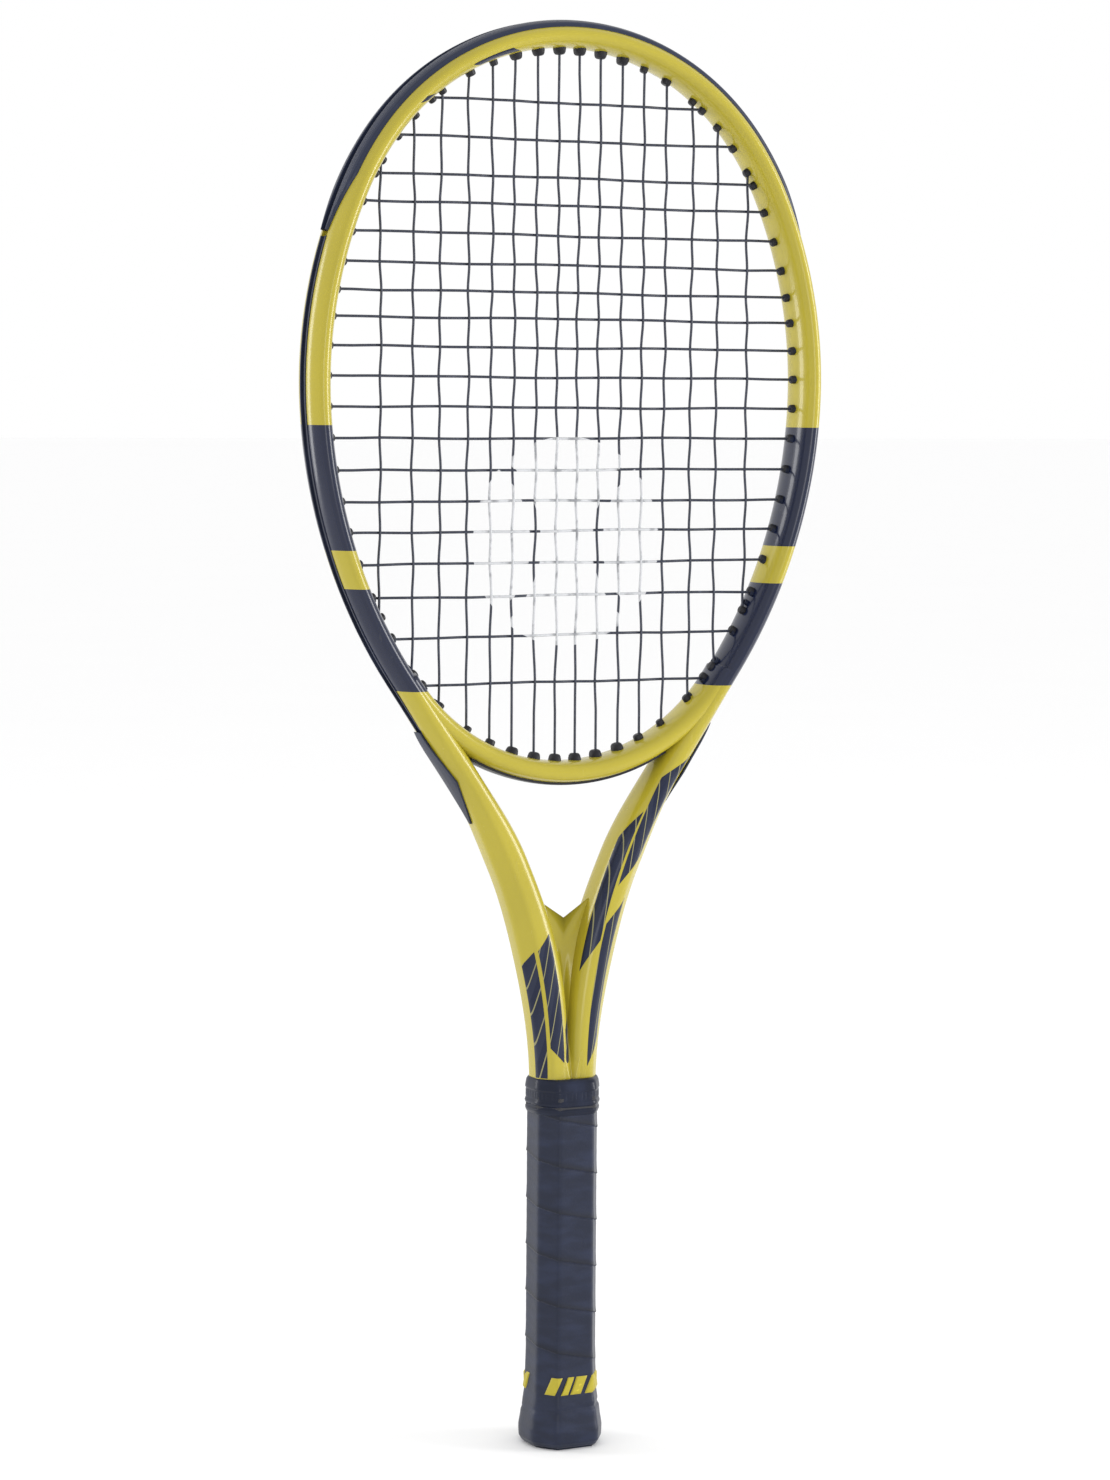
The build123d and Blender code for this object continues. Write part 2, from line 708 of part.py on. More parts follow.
def main_end(tie, last):
    """From the knot out through the tie-off hole and along the groove to the last main."""
    hole = pick("main", *tie)
    run_x = spot_3d(hole, "bend", string_offset, main_shift(hole))[0]
    knot_spot = (run_x, string_offset, hole["bend"][1] + knot_length)
    tail_spot = (run_x + 2 * tie_split * hole["side"], string_offset, knot_spot[2])
    return [tail_spot, spot_3d(hole, "bend", string_offset, -tie_split),
            spot_3d(hole, "loop", string_offset, -tie_split),
            *groove_points(hole, last, string_offset)], knot_spot


main_points, left_knot = main_end(main_ties[0], pick("main", *signed_mains[0], False))
for number, (side, x) in enumerate(signed_mains):
    ends = [pick("main", side, x, False), pick("main", side, x, True)]
    if number % 2:
        ends.reverse()
    for hole, keys in zip(ends, (("loop", "bend"), ("bend", "loop"))):
        y = tie_split if hole["y"] == 0.0 else string_offset
        main_points += [spot_3d(hole, key, y, main_shift(hole)) for key in keys]
    if number + 1 < len(signed_mains):
        main_points += groove_points(ends[1], pick("main", *signed_mains[number + 1], number % 2 == 0),
                                     string_offset)
right_end, right_knot = main_end(main_ties[1], pick("main", *signed_mains[-1], False))
main_points += reversed(right_end)

with BuildPart() as main_string:
    add(string_solid(main_points))
    add([knot(*left_knot, 1.0), knot(*right_knot, 1.0)])
main_string.part.label = "main_string"


def cross_end(tie, last):
    """From the knot about a main out through its tie-off hole and along the groove to the last cross."""
    hole = pick("main", *tie)
    up = -1.0 if hole["top"] else 1.0
    x, z = hole["side"] * hole["place"], hole["bend"][1] + up * knot_length
    return [(x, -tie_split, z), spot_3d(hole, "bend", -tie_split), spot_3d(hole, "loop", -tie_split),
            *groove_points(hole, last, -string_offset)], (x, string_offset, z, up)


cross_points, top_knot = cross_end(cross_ties[0], pick("cross", 1, cross_heights[0]))
for number, z in enumerate(cross_heights):
    sides = (1, -1) if number % 2 == 0 else (-1, 1)
    for side, keys in zip(sides, (("loop", "bend"), ("bend", "loop"))):
        cross_points += [spot_3d(pick("cross", side, z), key, -string_offset) for key in keys]
    if number + 1 < len(cross_heights):
        cross_points += groove_points(pick("cross", sides[1], z),
                                      pick("cross", sides[1], cross_heights[number + 1]), -string_offset)
bottom_end, bottom_knot = cross_end(cross_ties[1], pick("cross", -1, cross_heights[-1]))
cross_points += reversed(bottom_end)

with BuildPart() as cross_string:
    add(string_solid(cross_points))
    add([knot(*top_knot), knot(*bottom_knot)])
cross_string.part.label = "cross_string"


# ---- Handle: octagons whose flats keep the same proportions at every height ----


def octagon(half_x, half_y):
    """Eight corners of a grip octagon, in order."""
    x1, y1 = half_x * flat_share_y, half_y * flat_share_x
    return [(half_x, -y1), (half_x, y1), (x1, half_y), (-x1, half_y),
            (-half_x, y1), (-half_x, -y1), (-x1, -half_y), (x1, -half_y)]


def octagon_loft(levels, corner=0.0):
    """Closed loft through octagons, levels of (z, half x, half y)."""
    with BuildPart() as piece:
        for (z0, x0, y0), (z1, x1, y1) in zip(levels, levels[1:]):
            with BuildPart(mode=Mode.PRIVATE) as span:
                for z, half_x, half_y in ((z0, x0, y0), (z1, x1, y1)):
                    with BuildSketch(Plane.XY.offset(z)):
                        Polygon(*octagon(half_x, half_y), align=None)
                        if corner:
                            fillet(vertices(), radius=corner)
                loft(ruled=True)
            add(span.part)
    return piece.part


cap_neck_x = foam_half_x + fit_gap + butt_neck_wall
cap_neck_y = foam_half_y + fit_gap + butt_neck_wall
butt_half_y = butt_half - (foam_half_x - foam_half_y)
cap_levels = [(0.0, butt_half - 1.2, butt_half_y - 1.2), (1.2, butt_half, butt_half_y),
              (butt_flare_height, butt_half, butt_half_y), (butt_neck_height, cap_neck_x, cap_neck_y),
              (butt_cap_height, cap_neck_x, cap_neck_y)]

# Staples: two on the front flat and two on the back, through the cap's neck into the foam.
staple_z = butt_cap_height - 6.0


def staples(grow):
    """Four U-shaped staples, or the room they need when grown."""
    wire = staple_wire + 2 * grow
    leg_gap = (staple_crown - staple_wire) / 2
    with BuildPart() as group:
        for way in (-1, 1):
            face = Plane(origin=(0, way * cap_neck_y, staple_z), x_dir=(1, 0, 0), z_dir=(0, -way, 0))
            with BuildSketch(face.offset(-grow)):
                with Locations((-staple_spread, 0), (staple_spread, 0)):
                    Rectangle(staple_crown + 2 * grow, wire)
            extrude(amount=wire)
            with BuildSketch(face.offset(staple_wire / 2)):
                with Locations(*[(spread + leg, 0) for spread in (-staple_spread, staple_spread)
                                 for leg in (-leg_gap, leg_gap)]):
                    Rectangle(wire, wire)
            extrude(amount=staple_leg + grow)
    return group.part


# Tack that holds the start of the grip, driven through the cap into the foam on the back face.
tack_z = butt_neck_height + 3.0


def tack(grow):
    with BuildPart() as pin:
        with BuildSketch(Plane(origin=(0, cap_neck_y + fit_gap, tack_z), z_dir=(0, 1, 0)).offset(-grow)):
            Circle(tack_head_radius + grow)
        extrude(amount=tack_head_thickness + 2 * grow)
        with BuildSketch(Plane(origin=(0, cap_neck_y + fit_gap + tack_head_thickness / 2, tack_z),
                               z_dir=(0, -1, 0))):
            Circle(staple_wire / 2 + grow)
        extrude(amount=tack_length + grow)
    return pin.part


staple_room = staples(0.05)
tack_room = tack(0.05)

with BuildPart() as handle_foam:
    add(octagon_loft([(foam_start, foam_half_x, foam_half_y), (handle_top, foam_half_x, foam_half_y)]))
    add(fitted_tube, mode=Mode.SUBTRACT)
    add([staple_room, tack_room], mode=Mode.SUBTRACT)
handle_foam.part.label = "handle_foam"

# Foam plugs that close the two open ends of the frame tube.
with BuildPart() as tube_end_plugs:
    with BuildPart(mode=Mode.PRIVATE) as plug_side:
        add(tube(-wall - fit_gap))
        with BuildSketch(Plane.XY.offset(tube_start)):
            Rectangle(200, 200)
        extrude(amount=tube_plug_length, mode=Mode.INTERSECT)
    add(plug_side.part)
tube_end_plugs.part.label = "tube_end_plugs"

with BuildPart() as butt_cap:
    add(octagon_loft(cap_levels))
    add(octagon_loft([(foam_start - fit_gap, foam_half_x + fit_gap, foam_half_y + fit_gap),
                      (butt_cap_height + 1.0, foam_half_x + fit_gap, foam_half_y + fit_gap)]),
        mode=Mode.SUBTRACT)
    with BuildSketch(Plane.XY.offset(-0.1)):
        Rectangle(2 * butt_window_half_x, 2 * butt_window_half_y)
        fillet(vertices(), radius=2.0)
    extrude(amount=foam_start, mode=Mode.SUBTRACT)
    with BuildSketch(Plane.XY.offset(-0.1)):
        Rectangle(2 * (butt_window_half_x + plug_flange), 2 * (butt_window_half_y + plug_flange))
        fillet(vertices(), radius=2.0 + plug_flange)
    extrude(amount=0.1 + plug_flange, mode=Mode.SUBTRACT)
    add([staple_room, tack_room], mode=Mode.SUBTRACT)
butt_cap.part.label = "butt_cap"

with BuildPart() as butt_cap_plug:
    with BuildSketch(Plane.XY.offset(fit_gap)):
        Rectangle(2 * (butt_window_half_x + plug_flange - fit_gap),
                  2 * (butt_window_half_y + plug_flange - fit_gap))
        fillet(vertices(), radius=2.0 + plug_flange - fit_gap)
    extrude(amount=plug_flange - 2 * fit_gap)
    with BuildSketch(Plane.XY.offset(fit_gap)):
        Rectangle(2 * (butt_window_half_x - fit_gap), 2 * (butt_window_half_y - fit_gap))
        fillet(vertices(), radius=2.0 - fit_gap)
    extrude(amount=foam_start - 3 * fit_gap)
    with BuildSketch(Plane.XY.offset(foam_start - 3 * fit_gap)):
        Rectangle(2 * (butt_window_half_x - 2.0), 2 * (butt_window_half_y - 2.0))
        fillet(vertices(), radius=1.0)
    extrude(amount=-(foam_start - 3 * fit_gap - 2.0), mode=Mode.SUBTRACT)
butt_cap_plug.part.label = "butt_cap_plug"

with BuildPart() as butt_cap_staples:
    add(staples(0.0))
butt_cap_staples.part.label = "butt_cap_staples"

with BuildPart() as grip_tack:
    add(tack(0.0))
grip_tack.part.label = "grip_tack"

# ---- Grip wrap: over the foam and the cap's flare, up to the collar ----
grip_x = foam_half_x + fit_gap + grip_thickness
grip_y = foam_half_y + fit_gap + grip_thickness
grip_neck_x = cap_neck_x + fit_gap + grip_thickness * 0.75
grip_neck_y = cap_neck_y + fit_gap + grip_thickness * 0.75
grip_flare_x = butt_half + fit_gap + grip_thickness
grip_flare_y = butt_half_y + fit_gap + grip_thickness
inner_levels = [(-1.0, butt_half + fit_gap, butt_half_y + fit_gap),
                (butt_flare_height, butt_half + fit_gap, butt_half_y + fit_gap),
                (butt_neck_height + 0.5, cap_neck_x + fit_gap, cap_neck_y + fit_gap),
                (butt_cap_height + fit_gap, cap_neck_x + fit_gap, cap_neck_y + fit_gap),
                (butt_cap_height + fit_gap + 1.0, foam_half_x + fit_gap, foam_half_y + fit_gap),
                (handle_top + 5.0, foam_half_x + fit_gap, foam_half_y + fit_gap)]


def grip_outside(grow):
    levels = [(grip_start, grip_flare_x - 0.5, grip_flare_y - 0.5),
              (butt_flare_height, grip_flare_x, grip_flare_y), (butt_neck_height, grip_neck_x, grip_neck_y),
              (butt_cap_height + 4.0, grip_x, grip_y), (handle_top, grip_x, grip_y)]
    return octagon_loft([(z, half_x + grow, half_y + grow) for z, half_x, half_y in levels], corner=1.6)


with BuildPart() as base_grip:
    add(grip_outside(0.0))
    add(octagon_loft(inner_levels), mode=Mode.SUBTRACT)
    add(tack_room, mode=Mode.SUBTRACT)
base_grip.part.label = "base_grip"

# Tape that closes the top end of the grip, under the collar.
tape_bottom = handle_top - collar_overlap + 1.5
with BuildPart() as grip_finishing_tape:
    tape_x, tape_y = grip_x + fit_gap / 2, grip_y + fit_gap / 2
    add(octagon_loft([(tape_bottom, tape_x + tape_thickness, tape_y + tape_thickness),
                      (handle_top - 0.2, tape_x + tape_thickness, tape_y + tape_thickness)], corner=1.8))
    add(octagon_loft([(tape_bottom - 1, tape_x, tape_y), (handle_top + 1, tape_x, tape_y)], corner=1.5),
        mode=Mode.SUBTRACT)
grip_finishing_tape.part.label = "grip_finishing_tape"

# Rubber collar over the end of the grip and the root of the shaft.
collar_bottom = handle_top - collar_overlap
collar_top = collar_bottom + collar_height
pocket_x = grip_x + tape_thickness + fit_gap * 1.5
pocket_y = grip_y + tape_thickness + fit_gap * 1.5
with BuildPart() as grip_collar:
    add(octagon_loft([(collar_bottom, pocket_x + 0.9, pocket_y + 0.9),
                      (collar_bottom + 2.5, collar_half_x + 0.9, collar_half_y + 0.9),
                      (collar_bottom + 6.0, collar_half_x + 0.6, collar_half_y + 0.6),
                      (collar_top - 4.0, collar_half_x, collar_half_y - 0.6),
                      (collar_top, shaft_half_width + tube_offset + 1.6, arm_half_depth + 1.6)], corner=3.0))
    add(octagon_loft([(collar_bottom - 1, pocket_x, pocket_y), (handle_top + fit_gap, pocket_x, pocket_y)],
                     corner=1.5), mode=Mode.SUBTRACT)
    add(fitted_tube, mode=Mode.SUBTRACT)
    with BuildSketch(Plane.XY.offset(collar_bottom)):
        Rectangle(2 * (tube_offset + web_flare), 2 * (web_half_depth + fit_gap))
    extrude(amount=collar_height + 5.0, mode=Mode.SUBTRACT)
grip_collar.part.label = "grip_collar"

# Raised band of plain slanted bars moulded on the grip above the butt flare.
band_low, band_high = band_height - band_block_height / 2, band_height + band_block_height / 2
bar_slant = band_block_height * 0.45
with BuildPart() as grip_band:
    with BuildPart(mode=Mode.PRIVATE) as bars:
        for plane, places in ((Plane.XZ, (-11.0, -3.7, 3.7, 11.0)), (Plane.YZ, (-5.0, 3.0))):
            with BuildSketch(plane):
                with Locations(*[(place, band_height) for place in places]):
                    Polygon((-band_block_width / 2 - bar_slant / 2, -band_block_height / 2),
                            (band_block_width / 2 - bar_slant / 2, -band_block_height / 2),
                            (band_block_width / 2 + bar_slant / 2, band_block_height / 2),
                            (-band_block_width / 2 + bar_slant / 2, band_block_height / 2), align=None)
            extrude(amount=grip_flare_x + 5.0, both=True)
    add(grip_outside(band_proud))
    add(grip_outside(0.03), mode=Mode.SUBTRACT)
    add(bars.part, mode=Mode.INTERSECT)
grip_band.part.label = "grip_band"

pieces = [frame_tube.part, throat_bridge.part, bumper_guard.part, *grommet_strips.values(),
          throat_grommet_strip.part, head_pad_strip.part, throat_pad_strip.part, main_string.part,
          cross_string.part, handle_foam.part, tube_end_plugs.part, butt_cap.part, butt_cap_plug.part,
          butt_cap_staples.part, grip_tack.part, base_grip.part, grip_finishing_tape.part,
          grip_collar.part, grip_band.part]
for piece in pieces:
    export_step(piece, f"parts/{piece.label}.step")
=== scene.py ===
import math

import bmesh
import bpy
import numpy as np
from mathutils import Matrix, Vector


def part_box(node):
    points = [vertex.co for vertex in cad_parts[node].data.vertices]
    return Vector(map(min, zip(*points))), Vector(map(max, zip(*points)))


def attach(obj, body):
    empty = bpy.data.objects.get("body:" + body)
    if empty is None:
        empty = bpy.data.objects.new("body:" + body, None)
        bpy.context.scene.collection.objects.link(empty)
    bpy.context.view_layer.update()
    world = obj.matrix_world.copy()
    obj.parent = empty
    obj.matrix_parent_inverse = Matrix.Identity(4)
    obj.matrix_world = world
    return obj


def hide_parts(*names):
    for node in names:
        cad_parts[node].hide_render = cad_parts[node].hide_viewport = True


bl_info = {
    "name": "Tennis racket dressing",
    "version": (1, 0, 0),
    "blender": (4, 5, 0),
    "location": "View3D > Sidebar > Racket",
    "description": "Builds the lacquered frame, strings, guard, grip and stage of a tennis racket",
    "category": "Object",
}

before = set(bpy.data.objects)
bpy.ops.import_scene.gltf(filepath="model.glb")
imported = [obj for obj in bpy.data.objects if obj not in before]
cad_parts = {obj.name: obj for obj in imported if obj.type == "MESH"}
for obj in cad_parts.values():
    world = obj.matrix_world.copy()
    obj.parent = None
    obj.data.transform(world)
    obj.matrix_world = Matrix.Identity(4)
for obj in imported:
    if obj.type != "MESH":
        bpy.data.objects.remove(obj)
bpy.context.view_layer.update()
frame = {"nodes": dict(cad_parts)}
MM = 0.001

# Sizes of the frame, in millimetres unless a name says otherwise.
GROOVE_LIP_DROP = 0.184             # the groove's lips lie this much below the top of the plain section
SHAFT_STOP_Z = 166.0                # the lacquered tube ends inside the handle
CROTCH_Z = 241.0
CROTCH_RISE = 34.0                  # how far the web's top edge rises from its middle to the tubes
GUARD_HALF_WIDTH = 8.7
GUARD_TIP_HALF_WIDTH = 3.3
GUARD_LONGEST_RUN = 171.0           # along the centreline, each side of the crown
BRIDGE_MEET_DEGREES = 53.0          # turn from the bridge's middle to where it leaves the arms
BRIDGE_MEETS = math.cos(math.radians(BRIDGE_MEET_DEGREES))
HEAD_INNER_LENGTH = 338.5
YELLOW_NAVY_BORDERS = (497.0, 439.0, 421.0, 371.5)
PADDED_MAINS = 30.0                 # mains nearer the middle than this have cushions
TIE_SPOTS = (("main_top", 52.6), ("main_low", 40.4), ("main_low", 81.2))
WRAP_HALF_X = 16.15                 # half width of the wrapped handle above the flare
WRAP_HALF_Y = 15.95

# Camera: angles in degrees, aim and distance in millimetres.
CAMERA_LENS = 96.85
CAMERA_SENSOR = 36.0
CAMERA_YAW = -27.034
CAMERA_PITCH = 4.952
CAMERA_ROLL = 0.3955
CAMERA_AIM = (-5.239, 0.0, 343.381)
CAMERA_DISTANCE = 1911.546

# Heights and widths read from the packed model, in millimetres.
TUBE_TOP_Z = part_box("frame_tube")[1].z / MM
GRIP_TOP_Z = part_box("base_grip")[1].z / MM
GRIP_LOW_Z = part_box("base_grip")[0].z / MM
COLLAR_LOW_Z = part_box("grip_collar")[0].z / MM
COLLAR_TOP_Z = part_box("grip_collar")[1].z / MM
GRIP_FLARE_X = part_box("base_grip")[1].x / MM
BAND_LOW_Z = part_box("grip_band")[0].z / MM
BAND_TOP_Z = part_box("grip_band")[1].z / MM


# ---------------------------------------------------------------- sizes and colours a user may change
def size(name, text, value):
    """A length in millimetres as an add-on property."""
    return bpy.props.FloatProperty(name=name, description=text, default=value, unit="NONE", subtype="NONE")


def tint(name, text, value):
    """A colour as an add-on property."""
    return bpy.props.FloatVectorProperty(name=name, description=text, default=value, size=3,
                                         subtype="COLOR", min=0.0, max=1.0)


class RACKET_PG_frame(bpy.types.PropertyGroup):
    """Sizes of the hairpin tube and the throat bridge, in millimetres."""
    hoop_half_width: size("Hoop half width", "Half the tube's width in the plane of the strings", 5.8)
    crown_half_depth: size("Crown half depth", "Half the beam at the crown", 11.5)
    flank_half_depth: size("Flank half depth", "Half the beam at the sides", 13.0)
    arm_half_depth: size("Arm half depth", "Half the beam at the throat", 11.5)
    arm_half_width: size("Arm half width", "Half the tube's width above the crotch", 9.8)
    shaft_half_width: size("Shaft half width", "Half the tube's width in the shaft", 8.2)
    bridge_radius: size("Bridge radius", "Radius of the bridge's centreline", 101.8)
    bridge_half_width: size("Bridge half width", "Half the bridge's width", 5.3)
    bridge_half_depth: size("Bridge half depth", "Half the bridge's depth", 11.2)
    groove_half_width: size("Groove half width", "Half the string groove's width", 3.2)
    groove_depth: size("Groove depth", "Depth of the string groove", 2.0)


class RACKET_PG_strings(bpy.types.PropertyGroup):
    """Sizes of the string bed, in millimetres."""
    diameter: size("String diameter", "Diameter of the strings", 1.3)
    weave: size("Weave height", "How far a string leaves the middle plane at a crossing", 0.66)
    wander: size("String wander", "How far a string is pushed sideways between crossings", 0.45)
    disc: size("Ball mark radius", "Radius of the plain ball mark on the strings", 50.0)


class RACKET_PG_handle(bpy.types.PropertyGroup):
    """Sizes of the wrap and the collar, in millimetres."""
    pitch: size("Wrap pitch", "Height between two seams of the wrap", 22.8)
    seam_step: size("Seam step", "How far the upper turn stands over the lower one", 0.55)
    bar_proud: size("Bar height", "How far the coloured bars stand out", 0.7)


class RACKET_PG_colours(bpy.types.PropertyGroup):
    """Colours of the finishes, linear."""
    yellow: tint("Yellow lacquer", "Main colour of the frame", (0.420, 0.350, 0.028))
    navy: tint("Navy lacquer", "Blocks of the frame", (0.004, 0.008, 0.030))
    guard: tint("Guard", "Slate plastic of the bumper guard", (0.014, 0.019, 0.040))
    black: tint("Black plastic", "Grommets and strips", (0.008, 0.008, 0.011))
    string: tint("String", "Polyester string", (0.020, 0.024, 0.040))
    stencil: tint("Stencil", "Paint of the ball mark on the strings", (0.55, 0.56, 0.58))
    wrap: tint("Wrap", "Grip wrap", (0.0045, 0.0085, 0.026))
    collar: tint("Collar", "Rubber collar", (0.004, 0.007, 0.020))


def props(name):
    """A registered group of the scene."""
    return getattr(bpy.context.scene, "racket_" + name)


# ---------------------------------------------------------------- centreline of the hoop and the arms
class Centreline:
    """Plane curve of arcs and one straight, from the crown down the +X side to the handle.

    Its heading turns evenly with arc length on each arc; the point is the running sum of the heading's
    cosine and sine over short steps.
    """
    ARCS = ((120.5, 53.0), (138.0, 12.0), (216.0, 28.0), (246.5, 31.5))
    STRAIGHT = 59.0
    TUBE_OFFSET = 7.7
    STEP = 0.1

    def __init__(self):
        crown_z = TUBE_TOP_Z + GROOVE_LIP_DROP - props("frame").hoop_half_width
        lean = math.radians(sum(turn for _, turn in self.ARCS) - 90.0)
        marks, headings = [0.0], [0.0]
        for radius, turn in self.ARCS:
            marks.append(marks[-1] + radius * math.radians(turn))
            headings.append(headings[-1] + math.radians(turn))
        self.lower_end = marks[-1]
        marks.append(marks[-1] + self.STRAIGHT)
        headings.append(headings[-1])
        self.straight_end = marks[-1]
        s = np.linspace(0.0, self.straight_end, 20001)
        middle = np.interp((s[1:] + s[:-1]) / 2, marks, headings)
        x_end = float(np.sum(np.cos(middle)) * (s[1] - s[0]))
        arm_radius = (x_end - self.TUBE_OFFSET) / (1 - math.cos(lean))
        marks.append(marks[-1] + arm_radius * lean)
        headings.append(math.pi / 2)
        self.arm_end = marks[-1]
        marks.append(marks[-1] + 400.0)
        headings.append(math.pi / 2)
        self.s = np.arange(0.0, marks[-1], self.STEP)
        self.heading = np.interp(self.s, marks, headings)
        middle = np.interp(self.s[:-1] + self.STEP / 2, marks, headings)
        self.x = np.concatenate([[0.0], np.cumsum(np.cos(middle)) * self.STEP])
        self.z = crown_z - np.concatenate([[0.0], np.cumsum(np.sin(middle)) * self.STEP])
        self.crown_z = crown_z
        self.flank_middle = marks[2] + 0.75 * (marks[3] - marks[2])

    def at(self, s):
        """x, z and heading at signed arc lengths; negative ones are on the -X side."""
        a = np.abs(s)
        x = np.interp(a, self.s, self.x) * np.sign(np.where(s == 0, 1, s))
        return x, np.interp(a, self.s, self.z), np.interp(a, self.s, self.heading)

    def outwards(self, s):
        """Unit direction away from the strings."""
        heading = self.at(s)[2]
        return np.sin(heading) * np.sign(np.where(s == 0, 1, s)), np.cos(heading)

    def s_at_z(self, z):
        """Arc length at which the +X side reaches a height below the widest point's."""
        return np.interp(-np.asarray(z, float), -self.z, self.s)


def eased(s, marks, values):
    """Smoothstep between stations."""
    s, marks, values = np.asarray(s, float), np.asarray(marks, float), np.asarray(values, float)
    k = np.clip(np.searchsorted(marks, s, side="right") - 1, 0, len(marks) - 2)
    t = np.clip((s - marks[k]) / (marks[k + 1] - marks[k]), 0, 1)
    return values[k] + (values[k + 1] - values[k]) * t * t * (3 - 2 * t)


class Section:
    """Cross-section of the tube: a superellipse whose outer corners are cut by two soft chamfers.

    The radius at angle a, measured from outwards towards the front, is the superellipse's
    (|cos a / w| ** n + |sin a / d| ** n) ** (-1 / n), joined by a smooth minimum to the chamfer line's.
    """
    SMOOTH = 26.0

    def __init__(self, line):
        f = props("frame")
        arm = line.arm_end - line.straight_end
        self.line = line
        self.marks = [0.0, line.flank_middle, line.lower_end, line.straight_end,
                      line.straight_end + 0.3 * arm, line.straight_end + 0.6 * arm, line.arm_end,
                      line.arm_end + 200.0]
        top = 6.6
        self.width = [f.hoop_half_width, f.hoop_half_width, f.hoop_half_width, top,
                      (top + f.arm_half_width) / 2 + 0.6, f.arm_half_width, f.shaft_half_width,
                      f.shaft_half_width]
        self.depth = [f.crown_half_depth, f.flank_half_depth, f.arm_half_depth + 0.4] + [f.arm_half_depth] * 5
        self.round = [2.1, 2.1, 2.1, 2.5, 2.9, 3.0, 3.0, 3.0]
        # Share of the superellipse's corner radius left by the chamfer; 1 or more means no chamfer.
        self.cut = [0.985, 0.985, 0.975, 0.93, 0.885, 0.875, 0.90, 0.93]

    def radius(self, s, a, grow=0.0):
        s = np.abs(s)
        w = eased(s, self.marks, self.width) + grow
        d = eased(s, self.marks, self.depth) + grow
        n = eased(s, self.marks, self.round)
        cut = eased(s, self.marks, self.cut)
        c, q = np.abs(np.cos(a)), np.abs(np.sin(a))
        plain = ((c / w) ** n + (q / d) ** n) ** (-1 / n)
        corner = np.arctan2(d * 0.80, w)
        at_corner = ((np.cos(corner) / w) ** n + (np.sin(corner) / d) ** n) ** (-1 / n)
        # The chamfer's normal lies between the two flats.
        normal = np.arctan2(w * 1.15, d * 0.95)
        reach = at_corner * np.cos(corner - normal) * cut
        away = np.maximum(np.cos(np.arctan2(np.sin(a), np.cos(a)) - np.sign(np.sin(a) + 1e-9) * normal), 0.05)
        chamfer = np.where(np.cos(a) > -0.2, reach / away, 1e3)
        return (plain ** -self.SMOOTH + chamfer ** -self.SMOOTH) ** (-1 / self.SMOOTH)

    def point(self, s, a, grow=0.0):
        """3-D points on the tube's surface, in millimetres; a = 0 is outwards and +90 degrees the front."""
        r = self.radius(s, a, grow)
        x, z, _ = self.line.at(s)
        u, w = self.line.outwards(s)
        out = r * np.cos(a)
        return np.stack([x + out * u, -r * np.sin(a), z + out * w], -1)

    def angle_at_y(self, s, y, grow=0.0):
        """Angle at which the surface is y in front of the middle, near the outside."""
        y = np.asarray(s, float) * 0 + y
        low, high = np.zeros_like(y), np.full_like(y, math.radians(86.0))
        for _ in range(30):
            middle = (low + high) / 2
            short = self.radius(s, middle, grow) * np.sin(middle) < np.abs(y)
            low, high = np.where(short, middle, low), np.where(short, high, middle)
        return (low + high) / 2 * np.sign(y)


# ---------------------------------------------------------------- mesh helpers
def add_mesh(name, verts_mm, faces, slot, sharp=None):
    """Piece on the root body with its place in its mesh; millimetres in, metres out.

    Its normals are recalculated so that its closed surface faces outwards.
    """
    mesh = bpy.data.meshes.new(name)
    verts = np.asarray(verts_mm, float).reshape(-1, 3) * MM
    mesh.from_pydata(verts.tolist(), [], [list(map(int, face)) for face in faces])
    mesh.validate()
    mesh.update()
    mesh.polygons.foreach_set("use_smooth", np.full(len(mesh.polygons), True))
    if sharp is not None:
        mesh.set_sharp_from_angle(angle=math.radians(sharp))
    piece = bpy.data.objects.new(name, mesh)
    bpy.context.scene.collection.objects.link(piece)
    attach(piece, "root")
    work = bmesh.new()
    work.from_mesh(mesh)
    bmesh.ops.recalc_face_normals(work, faces=work.faces[:])
    work.to_mesh(mesh)
    work.free()
    return piece


def write_uv(piece, name, grid_uv):
    """Own UV map from one pair for each vertex of the grid; the end fans' middles stay at 0."""
    uv = np.zeros((len(piece.data.vertices), 2))
    uv[:len(grid_uv)] = grid_uv
    loops = np.zeros(len(piece.data.loops), np.int32)
    piece.data.loops.foreach_get("vertex_index", loops)
    layer = piece.data.uv_layers.new(name=name)
    layer.data.foreach_set("uv", uv[loops].ravel().astype(np.float32))


def grid_faces(rows, columns, close_columns=False):
    """Quads of a grid of rows by columns, whose columns wrap round where asked."""
    i = np.arange(rows - 1)
    j = np.arange(columns if close_columns else columns - 1)
    i, j = (v.ravel() for v in np.meshgrid(i, j, indexing="ij"))
    i2, j2 = i + 1, (j + 1) % columns
    return np.stack([i * columns + j, i2 * columns + j, i2 * columns + j2, i * columns + j2], -1)


def ring_solid(grid):
    """Closed solid from a grid whose columns wrap round a profile: both ends are closed by fans."""
    rows, columns = grid.shape[:2]
    faces = grid_faces(rows, columns, close_columns=True).tolist()
    verts = grid.reshape(-1, 3)
    ends = np.stack([grid[0].mean(0), grid[-1].mean(0)])
    first, last = len(verts), len(verts) + 1
    j = np.arange(columns)
    k = (j + 1) % columns
    faces += np.stack([j, k, np.full(columns, first)], -1).tolist()
    base = (rows - 1) * columns
    faces += np.stack([base + k, base + j, np.full(columns, last)], -1).tolist()
    return np.concatenate([verts, ends]), faces


def joined(solids):
    """One list of vertices and faces from several solids."""
    verts, faces, start = [], [], 0
    for solid_verts, solid_faces in solids:
        verts.append(solid_verts)
        faces += [[i + start for i in face] for face in solid_faces]
        start += len(solid_verts)
    return np.concatenate(verts), faces


